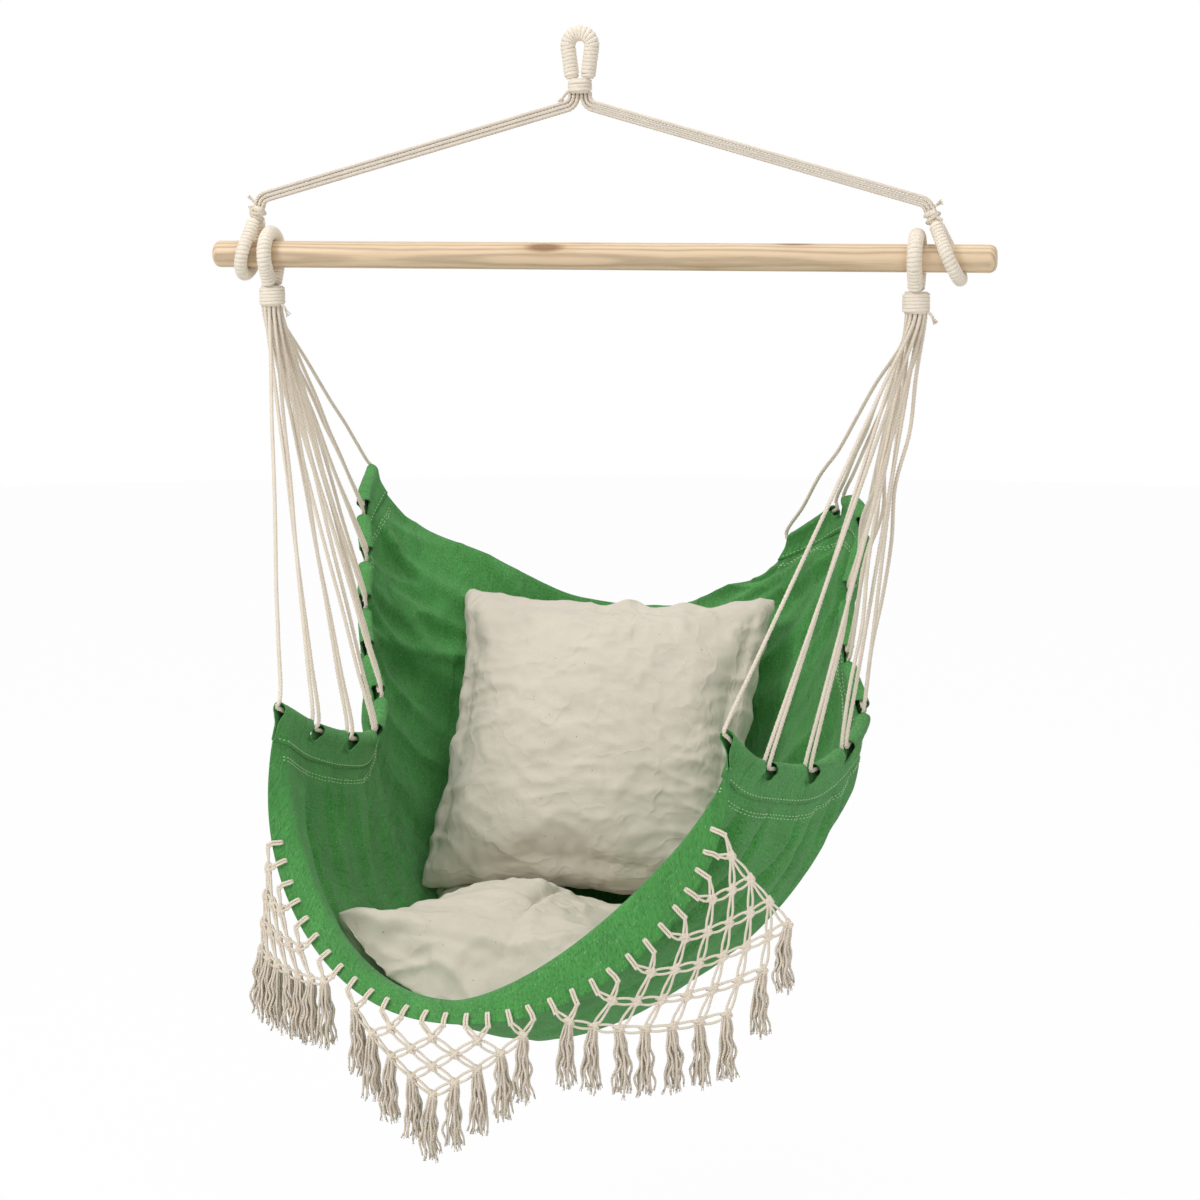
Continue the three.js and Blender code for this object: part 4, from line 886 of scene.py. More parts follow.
def cord_group():
    """Sweeps a profile of round strands along each line and twists it, as a cord is laid."""
    sizes = {"Radius": 0.0023, "Lay": 0.014, "Step": 0.0022, "Groove": 0.16, "Strands": 3,
             "Sides": 12}
    group, tree, given = geometry_group("Twisted cord", sizes)
    curve = tree.add("GeometryNodeMeshToCurve", None, {0: given["Geometry"]})
    even = tree.add(
        "GeometryNodeResampleCurve", {"mode": "LENGTH"}, {"Curve": curve, "Length": given["Step"]})
    reach = tree.add("GeometryNodeSplineParameter", None, None, "Length")
    turned = tree.add(
        "GeometryNodeSetCurveTilt", None,
        {"Curve": even, "Tilt": reach * (2 * math.pi) / given["Lay"]})
    weight = tree.add(
        "GeometryNodeInputNamedAttribute", {"data_type": "FLOAT"}, {"Name": "thickness"})
    sized = tree.add(
        "GeometryNodeSetCurveRadius", None, {"Curve": turned, "Radius": weight})
    circle = tree.add(
        "GeometryNodeCurvePrimitiveCircle", {"mode": "RADIUS"},
        {"Resolution": given["Sides"], "Radius": given["Radius"]})
    number = tree.add("GeometryNodeInputIndex")
    around = number * (2 * math.pi) / given["Sides"]
    dip = 0.5 - (around * given["Strands"]).math("COSINE") * 0.5
    spot = tree.add("GeometryNodeInputPosition")
    size = 1 - dip * given["Groove"]
    lobed = tree.add(
        "GeometryNodeSetPosition", None,
        {"Geometry": circle, "Position": tree.scaled(spot, size)})
    # The groove's depth round the profile is kept for the painted shade in the cotton's grooves
    marked = tree.add(
        "GeometryNodeStoreNamedAttribute", {"data_type": "FLOAT", "domain": "POINT"},
        {"Geometry": lobed, "Name": "groove", "Value": dip})
    swept = tree.add(
        "GeometryNodeCurveToMesh", None,
        {"Curve": sized, "Profile Curve": marked, "Scale": weight, "Fill Caps": True})
    close_group(tree, swept, given["Material"])
    return group


def stitch_group():
    """Lays short stitches in a row along each line."""
    sizes = {"Pitch": 0.0062, "Length": 0.0038, "Radius": 0.0008}
    group, tree, given = geometry_group("Stitch row", sizes)
    curve = tree.add("GeometryNodeMeshToCurve", None, {0: given["Geometry"]})
    points = tree.node(
        "GeometryNodeCurveToPoints", {"mode": "LENGTH"},
        {"Curve": curve, "Length": given["Pitch"]})
    stitch = tree.add("GeometryNodeMeshIcoSphere", None, {"Radius": 1.0, "Subdivisions": 1})
    size = tree.add(
        "ShaderNodeCombineXYZ", None,
        {0: given["Radius"], 1: given["Radius"], 2: given["Length"] * 0.5})
    placed = tree.add("GeometryNodeInstanceOnPoints", None, {
        "Points": Value(tree, points.outputs["Points"]), "Instance": stitch,
        "Rotation": Value(tree, points.outputs["Rotation"]), "Scale": size,
    })
    close_group(tree, placed, given["Material"])
    return group


class Kit:
    """Materials and node trees that the pieces share, made on first use."""

    made = {}

    @classmethod
    def take(cls, name, make):
        if name not in cls.made:
            cls.made[name] = make()
        return cls.made[name]


def settings():
    return bpy.context.scene.hammock_chair


def cotton():
    chosen = settings()
    return Kit.take("cotton", lambda: cotton_material(
        "twisted_cotton", tuple(chosen.cord_colour), chosen.fibre_size))


def canvas():
    chosen = settings()
    return Kit.take("canvas", lambda: canvas_material(
        "green_canvas", tuple(chosen.cloth_colour), chosen.weave_pitch, chosen.crumple_depth))


def sewing_thread():
    return Kit.take("thread", lambda: thread_material(
        "pale_thread", tuple(settings().thread_colour)))


def cords():
    return Kit.take("cords", cord_group)


def stitches():
    return Kit.take("stitches", stitch_group)


def cord_piece(name, paths, radius, body, nodes=(), weights=None, **sizes):
    """Twisted cords along some paths, as one piece."""
    inputs = {"Radius": radius * MM, "Lay": settings().lay_length, **sizes}
    piece = grown(name, paths, cords(), inputs, cotton(), weights)
    return fitted(piece, body, "cotton_cord", *nodes)


def skin_piece(name, skins, body, nodes=()):
    """Closed cotton skins as one piece."""
    mesh = mesh_of(name, *joined(skins))
    face_out(mesh)
    return fitted(new_object(name, mesh, cotton()), body, "cotton_cord", *nodes)


def tail_pieces(names, tail, brush, body):
    """The short end of a cord and its loose fibres."""
    cord_piece(names[0], [tail], TAIL_RADIUS, body)
    cord_piece(names[1], brush, FIBRE_RADIUS, body, **FINE_FIBRES)


def canvas_piece(name, mesh, node):
    """A piece of canvas with the thickness of the cloth."""
    piece = new_object(name, mesh, canvas())
    wall = piece.modifiers.new("thickness", "SOLIDIFY")
    wall.thickness, wall.offset = settings().cloth_thickness, 0
    return fitted(piece, "seat", "green_canvas", node)


def stitch_piece(name, lines):
    """Rows of stitches in the canvas."""
    piece = grown(name, lines, stitches(), {}, sewing_thread())
    return fitted(piece, "seat", "green_canvas")


def frayed(start, heading, length, count, spread, seed):
    """Loose strand ends that leave a point as a brush."""
    chance = random.Random(seed)
    side = heading.orthogonal().normalized()
    other = heading.cross(side)
    ends = []
    for _ in range(count):
        angle, far = chance.uniform(0, 2 * math.pi), math.sqrt(chance.random())
        aside = side * math.cos(angle) + other * math.sin(angle)
        curl = chance.uniform(-1, 1)
        line = []
        for i in range(FRAY_STEPS + 1):
            part = i / FRAY_STEPS
            bow = side * math.sin(math.pi * part) * curl * spread * FRAY_CURL
            line.append(
                start + heading * (length * part * chance.uniform(*FRAY_LENGTHS))
                + aside * (far * (FRAY_ROOT + spread * part ** FRAY_OPENING)) + bow)
        ends.append(line)
    return ends


# Operators: one for each piece or group of like pieces

class HAMMOCK_OT_stage(bpy.types.Operator):
    """Make the floor, the light and the camera"""

    bl_idname = "hammock.stage"
    bl_label = "Stage"

    def execute(self, context):
        scene = context.scene
        camera = bpy.data.cameras.new("camera")
        camera.sensor_width, camera.lens = SENSOR_WIDTH, CAMERA_LENS
        viewer = linked("camera", camera)
        viewer.location = CAMERA_PLACE
        viewer.rotation_euler = (math.pi / 2 - CAMERA_TILT, 0, CAMERA_TURN)
        scene.camera = viewer
        self.make_floor()
        self.make_lamps()
        self.make_world(scene)
        scene.view_settings.view_transform = "Standard"
        return {"FINISHED"}

    def make_floor(self):
        """A floor that looks white to the camera and keeps a faint shadow."""
        low = (CAD_BOUNDS[0][2] - FLOOR_ROOM) / MM
        rim = []
        for k in range(FLOOR_SIDES):
            angle = part_turn(k, FLOOR_SIDES)
            across, along = math.cos(angle), math.sin(angle)
            rim.append(Vector((FLOOR_RADIUS / MM * across, FLOOR_RADIUS / MM * along, low)))
        mesh = mesh_of("floor", rim, [tuple(range(FLOOR_SIDES))])
        material, tree = new_material("pale_floor")
        lit = tree.add("ShaderNodeBsdfDiffuse", None, {"Color": (0.9, 0.9, 0.9, 1)})
        glow = tree.add("ShaderNodeEmission", None, {"Color": (1, 1, 1, 1), "Strength": 1.0})
        share = self.seen(tree) * FLOOR_GLOW_SHARE
        surface = tree.add("ShaderNodeMixShader", None, {0: share, 1: lit, 2: glow})
        tree.node("ShaderNodeOutputMaterial", None, {"Surface": surface})
        new_object("floor", mesh, material, False)

    def seen(self, tree):
        """1 for the rays that show the background."""
        path = tree.node("ShaderNodeLightPath")
        rays = [Value(tree, path.outputs[name]) for name in (
            "Is Camera Ray", "Is Glossy Ray", "Is Transmission Ray")]
        return rays[0].math("MAXIMUM", rays[1]).math("MAXIMUM", rays[2])

    def make_lamps(self):
        for name, place, size, power, target in LAMPS:
            lamp = bpy.data.lights.new(name, "AREA")
            lamp.shape, lamp.size, lamp.energy = "DISK", size, power
            holder = linked(name, lamp)
            holder.location = place
            aim = Vector(target) - Vector(place)
            holder.rotation_euler = aim.to_track_quat("-Z", "Y").to_euler()

    def make_world(self, scene):
        world = bpy.data.worlds.new("studio")
        scene.world = world
        world.use_nodes = True
        world.node_tree.nodes.clear()
        tree = Tree(world.node_tree)
        strength = 0.5 + self.seen(tree) * 0.5
        values = {"Color": (1, 1, 1, 1), "Strength": strength}
        background = tree.add("ShaderNodeBackground", None, values)
        tree.node("ShaderNodeOutputWorld", None, {"Surface": background})


class HAMMOCK_OT_spreader_bar(bpy.types.Operator):
    """Turn the wooden bar"""

    bl_idname = "hammock.spreader_bar"
    bl_label = "Spreader bar"

    SIDES, ROUNDING = 56, 10

    def execute(self, context):
        end = []
        for i in range(self.ROUNDING + 1):
            angle = math.pi / 2 * i / self.ROUNDING
            radius = BAR_RADIUS - BAR_END_ROUND * (1 - math.sin(angle))
            end.append((BAR_END_ROUND * (1 - math.cos(angle)), radius))
        profile = end + [(BAR_LENGTH - x, radius) for x, radius in reversed(end)]
        start = BAR_SHIFT - BAR_LENGTH / 2
        rings = []
        for x, radius in profile:
            ring = []
            for k in range(self.SIDES):
                angle = part_turn(k, self.SIDES)
                place = (start + x, radius * math.cos(angle), radius * math.sin(angle) - BAR_DROP)
                ring.append(Vector(place))
            rings.append(ring)
        mesh = mesh_of("bar", *skin_over(rings))
        face_out(mesh)
        wood = wood_material("pale_wood", tuple(settings().wood_colour))
        fitted(new_object("turned_bar", mesh, wood), "bar", "pale_wood", "spreader_bar")
        return {"FINISHED"}


def whipped_piece(name, path, outer, body, nodes, end=0):
    """A whipped strand: the core and the cord wound on it in one piece."""
    chosen = settings()
    inner = outer - WHIP_HEIGHT
    core = core_skin(path, inner + CORE_LAP, CORE_STEPS, end=end)
    winding = wound_cord(path, inner, chosen.cord_diameter / MM, chosen.lay_length / MM)
    skin_piece(name, [core, winding], body, nodes)


def bound_piece(name, start, radius, length, body, nodes, aside, seed):
    """Gathered strands with the cord bound round them, and the cord's frayed tail."""
    chosen = settings()
    run = StraightRun(start, DOWN, length)
    pitch = chosen.cord_diameter / MM
    core = core_skin(run, radius, BOUND_STEPS, BOUND_SIDES)
    winding = wound_cord(run, radius + BOUND_GAP, pitch, chosen.lay_length / MM, pitch / 2)
    skin_piece(name, [core, winding], body, nodes)
    end = start + DOWN * (length - pitch / 2) + aside * (radius + 1)
    stations = [end - aside * 3, end]
    for out, fall in TAIL_STRIDES:
        stations.append(stations[-1] + aside * out + DOWN * fall)
    bend, tip = stations[-2:]
    brush = frayed(tip + DOWN, (tip - bend).normalized(), *TAIL_FRAY, seed)
    tail_pieces((name + "_tail", name + "_tail_ends"), smooth_line(stations, 5), brush, body)


class HAMMOCK_OT_hanging_eye(bpy.types.Operator):
    """Wind the hanging eye and bind its neck"""

    bl_idname = "hammock.hanging_eye"
    bl_label = "Hanging eye"

    def execute(self, context):
        path, top = eye_frame()
        whipped_piece("whipped_eye", path, EYE_STRAND_RADIUS, "hanger",
                      ["hanging_eye", "hanging_eye_whipping"], 1)
        bound_piece("bound_neck", Vector((0, 0, top)), NECK_RADIUS, NECK_LENGTH, "hanger",
                    ["neck_binding", "neck_binding_strands"], -X_AXIS, 11)
        return {"FINISHED"}


class HAMMOCK_OT_bar_loops(bpy.types.Operator):
    """Wind the four loops round the bar, with their knots and bindings"""

    bl_idname = "hammock.bar_loops"
    bl_label = "Bar loops"

    WRAPS = ((3, 0.18, 8), (7.5, -0.22, 8.8), (12, 0.2, 8))  # height, slant and radius
    CROSSING = ((0, -5), (5, -2), (10, 3), (15, 6))  # height and place across
    CROSSING_STAND, RING_STEPS, CORE_SHARE, LAP = 8.5, 24, 0.68, 2
    TAIL_START, TAIL = 13, ((0, 0), (4, 4), (5, 11))  # up and out
    FRAY = (8, 14, 3)  # length, count and spread

    def execute(self, context):
        for side, name in SIDES:
            centre, rise, path = bridle_frame(side)
            loop = f"bridle_loop_{name}"
            whipped_piece(f"upper_loop_{name}", path, BRIDLE_LOOP_RADIUS, "hanger",
                          [loop, loop + "_whipping"])
            self.knot(side, name, centre, rise)
            path, start = clew_frame(side)
            loop = f"clew_loop_{name}"
            whipped_piece(f"lower_loop_{name}", path, CLEW_LOOP_RADIUS, "seat",
                          [loop, loop + "_whipping"])
            binding = f"clew_binding_{name}"
            bound_piece(f"lower_binding_{name}", start, CLEW_BINDING_RADIUS,
                        CLEW_BINDING_LENGTH, "seat", [binding, binding + "_strands"],
                        (X_AXIS - Y_AXIS * 0.4).normalized(), 21 + side)
        return {"FINISHED"}

    def knot(self, side, name, centre, rise):
        """Three wraps on a slant with a short end, over the gathered strands."""
        foot = centre + rise * (BRIDLE_LOOP_RISE + 2 * TOUCH)
        across = rise.cross(Y_AXIS)
        wraps = []
        for height, slant, radius in self.WRAPS:
            ring = []
            for i in range(self.RING_STEPS + 1):
                angle = part_turn(i, self.RING_STEPS)
                out = across * math.cos(angle) + Y_AXIS * math.sin(angle)
                lift = height + slant * radius * math.cos(angle)
                ring.append(foot + rise * lift + out * radius)
            wraps.append(ring)
        slope = (across * side * -0.5 - Y_AXIS * 0.85).normalized()
        wraps.append(smooth_line([
            foot + slope * self.CROSSING_STAND + rise * height + across * aside
            for height, aside in self.CROSSING
        ], 6))
        cord_piece(f"tied_knot_{name}", wraps, CORD_RADIUS + 0.1, "hanger",
                   [f"bridle_knot_{name}"])
        core = StraightRun(foot - rise * self.LAP, rise, KNOT_LENGTH + 2 * self.LAP)
        skin = core_skin(core, KNOT_RADIUS * self.CORE_SHARE, 4, 18)
        skin_piece(f"knot_strands_{name}", [skin], "hanger")
        way = Vector((0.75 * side, -0.1, 0.55)).normalized()
        start = foot + rise * self.TAIL_START
        tail = smooth_line([start + rise * up + way * out for up, out in self.TAIL], 6)
        brush = frayed(tail[-1] - way, way, *self.FRAY, 31 + side)
        tail_pieces((f"knot_tail_{name}", f"knot_tail_ends_{name}"), tail, brush, "hanger")


class HAMMOCK_OT_bridle_cords(bpy.types.Operator):
    """Lay the twelve cords from the eye's neck to the bar"""

    bl_idname = "hammock.bridle_cords"
    bl_label = "Bridle cords"

    LAP, BEND_STEPS, GROOVE = 2, 12, 0.24

    def execute(self, context):
        _, top = eye_frame()
        lead = BRIDLE_LEAD + self.LAP
        for side, name in SIDES:
            centre, rise, _ = bridle_frame(side)
            middle = BRIDLE_ROWS * CORD_PITCH / 2
            start = Vector((side * middle, 0, top - NECK_LENGTH + self.LAP))
            foot = centre + rise * (BRIDLE_LOOP_RISE + 2 * TOUCH + KNOT_LENGTH - self.LAP)
            corners = [start, start + DOWN * lead, foot + rise * lead, foot]
            route = self.rounded(corners, BRIDLE_BEND)
            paths, nodes = [], []
            for row in range(BRIDLE_ROWS):
                for column in range(BRIDLE_COLUMNS):
                    aside = (row - (BRIDLE_ROWS - 1) / 2) * CORD_PITCH
                    back = (column - (BRIDLE_COLUMNS - 1) / 2) * CORD_PITCH
                    paths.append([
                        point + heading.cross(Y_AXIS) * aside + Y_AXIS * back
                        for point, heading in route
                    ])
                    nodes.append(f"bridle_cord_{name}_{len(nodes) + 1}")
            cord_piece(f"bridle_{name}", paths, CORD_RADIUS + CORD_LOFT, "hanger", nodes,
                       Groove=self.GROOVE)
        return {"FINISHED"}

    def rounded(self, corners, radius):
        """Stations along the line through the corners, with an arc at each bend."""
        stations = [(corners[0], (corners[1] - corners[0]).normalized())]
        for before, here, after in zip(corners, corners[1:], corners[2:]):
            into, out = (here - before).normalized(), (after - here).normalized()
            turn = into.angle(out)
            start = here - into * (radius * math.tan(turn / 2))
            toward = (out - into * out.dot(into)).normalized()
            for k in range(self.BEND_STEPS + 1):
                angle = turn * k / self.BEND_STEPS
                point = start + into * (radius * math.sin(angle))
                point += toward * (radius * (1 - math.cos(angle)))
                stations.append((point, into * math.cos(angle) + toward * math.sin(angle)))
        return [*stations, (corners[-1], (corners[-1] - corners[-2]).normalized())]


class HAMMOCK_OT_clew_cords(bpy.types.Operator):
    """Lead the cords from the bindings through the tabs and back"""

    bl_idname = "hammock.clew_cords"
    bl_label = "Clew cords"

    LEFT_SLACK, END_DEPTH, INSIDE_STEPS = 0.12, 8, 5

    def execute(self, context):
        for side, name in SIDES:
            _, start = clew_frame(side)
            foot = start + DOWN * CLEW_BINDING_LENGTH
            places = self.packed()
            cut = CUT_RADIUS / EDGES[side].length
            paths, nodes = [], []
            for i in range(TAB_COUNT):
                low = i / TAB_COUNT + (cut if i > 0 else 0)
                high = (i + 1) / TAB_COUNT - (cut if i + 1 < TAB_COUNT else 0)
                slack = RIGHT_SLACK[i] if side > 0 else self.LEFT_SLACK
                ends = [foot + Vector((*places[2 * i + k], self.END_DEPTH)) for k in (0, 1)]
                front = self.leg(ends[0], TunnelFrame(side, low), -1, slack, i)
                back = self.leg(ends[1], TunnelFrame(side, high), 1, slack, i + 1)
                inset = (high - low) * TAB_INSET_SHARE
                inside = [
                    TunnelFrame(side, lerp(low + inset, high - inset, k / self.INSIDE_STEPS)).point
                    for k in range(self.INSIDE_STEPS + 1)
                ]
                paths.append(smooth_line([*front, *inside, *reversed(back)], 8))
                nodes.append(f"clew_cord_{name}_{i + 1}")
            cord_piece(f"fan_{name}", paths, FAN_CORD_RADIUS, "seat", nodes, Sides=9, Step=0.0027,
                       Groove=0.3)
        return {"FINISHED"}

    def packed(self):
        """Places of the cords in their binding, front to back."""
        places = []
        for ring in (1, 2):
            for i in range(6 * ring):
                angle = part_turn(i + ring / 2, 6 * ring)
                reach = ring * FAN_PITCH
                places.append((reach * math.cos(angle), reach * math.sin(angle)))
        return sorted(places, key=lambda place: place[1] + PLACE_SLANT * place[0])

    def leg(self, start, tunnel, outward, slack, phase):
        """One leg of a cord, with the waves of its slack, down to the mouth of a tunnel."""
        up = (tunnel.along * tunnel.down.dot(tunnel.along) - tunnel.down).normalized()
        foot = tunnel.point + tunnel.along * (outward * LEG_ASIDE) + up * LEG_RISE
        neck = start + DOWN * (BINDING_LEAD + self.END_DEPTH)
        sideways = (foot - neck).cross(tunnel.along).normalized()
        stations = [start, neck]
        for i in range(1, SLACK_STEPS):
            part = i / SLACK_STEPS
            sway = math.sin(math.pi * part) * math.sin(SLACK_WAVES * math.pi * part + phase)
            stations.append(neck.lerp(foot, part) + sideways * (SLACK_DEPTH * slack * sway))
        stations.append(foot)
        stations.append(tunnel.point + tunnel.along * (outward * LEG_ASIDE))
        return stations


class HAMMOCK_OT_side_casings(bpy.types.Operator):
    """Sew the two side casings with their tunnels, tabs and notches"""

    bl_idname = "hammock.side_casings"
    bl_label = "Side casings"

    STATIONS, WIDTH_SHARE = 420, 2.75
    PUFF, PUFF_REACH, FACE_STAND = 0.9, 12, 0.3
    FACE_INSET, FACE_DEPTHS, MOUTH_DEPTH, MOUTH_STAND = 0.2, (CASING_DEPTH, 34, 28, 22), 17, 0.8
    ROUND_START, ROUND_SPAN, ROUND_STEPS = 48, 264, 12

    def execute(self, context):
        outline = self.outline()
        girth = [0.0]
        for before, after in zip(outline, outline[1:]):
            girth.append(girth[-1] + math.dist(before, after))
        for side, name in SIDES:
            frames = [TunnelFrame(side, i / self.STATIONS) for i in range(self.STATIONS + 1)]
            reaches = walked([here.point for here in frames])
            points, flat = [], []
            for here, reach in zip(frames, reaches):
                for k, (low, wide) in enumerate(outline):
                    fall = low * here.depth / CASING_DEPTH if low > TUNNEL_RADIUS else low
                    ripple = noise.noise(Vector((reach * 0.09, k * 0.22, side * 5)))
                    inner = min(1, max(0, CASING_DEPTH - low) / self.PUFF_REACH)
                    stand = self.PUFF * ripple * inner + self.FACE_STAND
                    points.append(here.place(0, fall, wide + (stand if wide >= 0 else -stand)))
                    flat.append((reach, girth[k]))
            mesh = self.cut(side, points, flat, len(outline))
            piece = canvas_piece(f"hemmed_casing_{name}", mesh, f"side_casing_{name}")
            self.sew(name, frames)
        return {"FINISHED"}

    def outline(self):
        """The hem's section: up one face, round the tunnel and down the other face."""
        half = HEM_THICKNESS / 2 - self.FACE_INSET
        face = [(depth, half) for depth in self.FACE_DEPTHS]
        face.append((self.MOUTH_DEPTH, half + self.MOUTH_STAND))
        outline = list(face)
        for i in range(self.ROUND_STEPS + 1):
            angle = math.radians(self.ROUND_START + self.ROUND_SPAN * i / self.ROUND_STEPS)
            low, wide = TUNNEL_RADIUS * math.cos(angle), TUNNEL_RADIUS * math.sin(angle)
            outline.append((low + 1, wide))
        return outline + [(low, -wide) for low, wide in reversed(face)]

    def cut(self, side, points, flat, width):
        """Leaves out the notches and draws the cut edges to a clean round."""
        notches = [TunnelFrame(side, i / TAB_COUNT) for i in range(1, TAB_COUNT)]
        inside = {}
        for i, point in enumerate(points):
            for notch in notches:
                away = point - notch.point
                if away.length > 3 * CUT_RADIUS:
                    continue
                away -= notch.inward * away.dot(notch.inward)
                if away.length < CUT_RADIUS:
                    inside[i] = (point - away, away)
        faces = []
        for row in range(len(points) // width - 1):
            for k in range(width - 1):
                face = (row * width + k, row * width + k + 1,
                        (row + 1) * width + k + 1, (row + 1) * width + k)
                if not all(i in inside for i in face):
                    faces.append(face)
        for i, (centre, away) in inside.items():
            if away.length > 1:
                points[i] = centre + away.normalized() * CUT_RADIUS
        used = sorted({i for face in faces for i in face})
        order = {old: new for new, old in enumerate(used)}
        mesh = mesh_of("casing", [points[i] for i in used],
                       [tuple(order[i] for i in face) for face in faces])
        unroll(mesh, [flat[i] for i in used])
        return mesh

    def sew(self, name, frames):
        """A row of stitches on each face of the hem."""
        half = HEM_THICKNESS / 2 + settings().cloth_thickness / MM / 2 + HEM_STITCH_LIFT
        lines = []
        for face in (-half, half):
            line = []
            for here in frames[3:-3]:
                fall = (CASING_DEPTH - HEM_STITCH_ROOM) * here.depth / CASING_DEPTH
                line.append(here.place(0, fall, face))
            lines.append(line)
        stitch_piece(f"hem_stitches_{name}", lines)


class Lappet:
    """A lappet of net on the flat: its headers, its knots and the strands between them."""

    def __init__(self, first, last, slant_left, slant_right, rows):
        self.first, self.last, self.rows = first, last, rows
        self.slant_left, self.slant_right = slant_left, slant_right

    def row_ends(self, row):
        step = row - 1
        left = self.first + 0.5 + (step if self.slant_left else step % 2)
        right = self.last - 0.5 - (step if self.slant_right else step % 2)
        return left, right

    def has_knot(self, place, row):
        if not 1 <= row <= self.rows:
            return False
        left, right = self.row_ends(row)
        return left <= place <= right

    def knots(self):
        found = []
        for row in range(1, self.rows + 1):
            place, right = self.row_ends(row)
            while place <= right:
                found.append((place, row))
                place += 2
        return found

    def strands(self):
        """Pairs of knots or headers that two cords run between, and the way that they bow."""
        found = []
        for number in range(self.first, self.last + 1):
            aside = 0.5 if (number - self.first) % 2 == 0 else -0.5
            found.append(((number, 0), (number + aside, 1)))
        for place, row in self.knots():
            for step in (-1, 1):
                if self.has_knot(place + step, row + 1):
                    found.append(((place, row), (place + step, row + 1)))
            on_left = not self.slant_left and place == self.first + 0.5
            on_right = not self.slant_right and place == self.last - 0.5
            if (on_left or on_right) and self.has_knot(place, row + 2):
                found.append(((place, row), (place, row + 2)))
        return found

    def tassel_knots(self):
        found = []
        for place, row in self.knots():
            left, right = self.row_ends(row)
            on_side = (self.slant_left and place == left) or (self.slant_right and place == right)
            if on_side or row == self.rows:
                found.append((place, row))
        return found


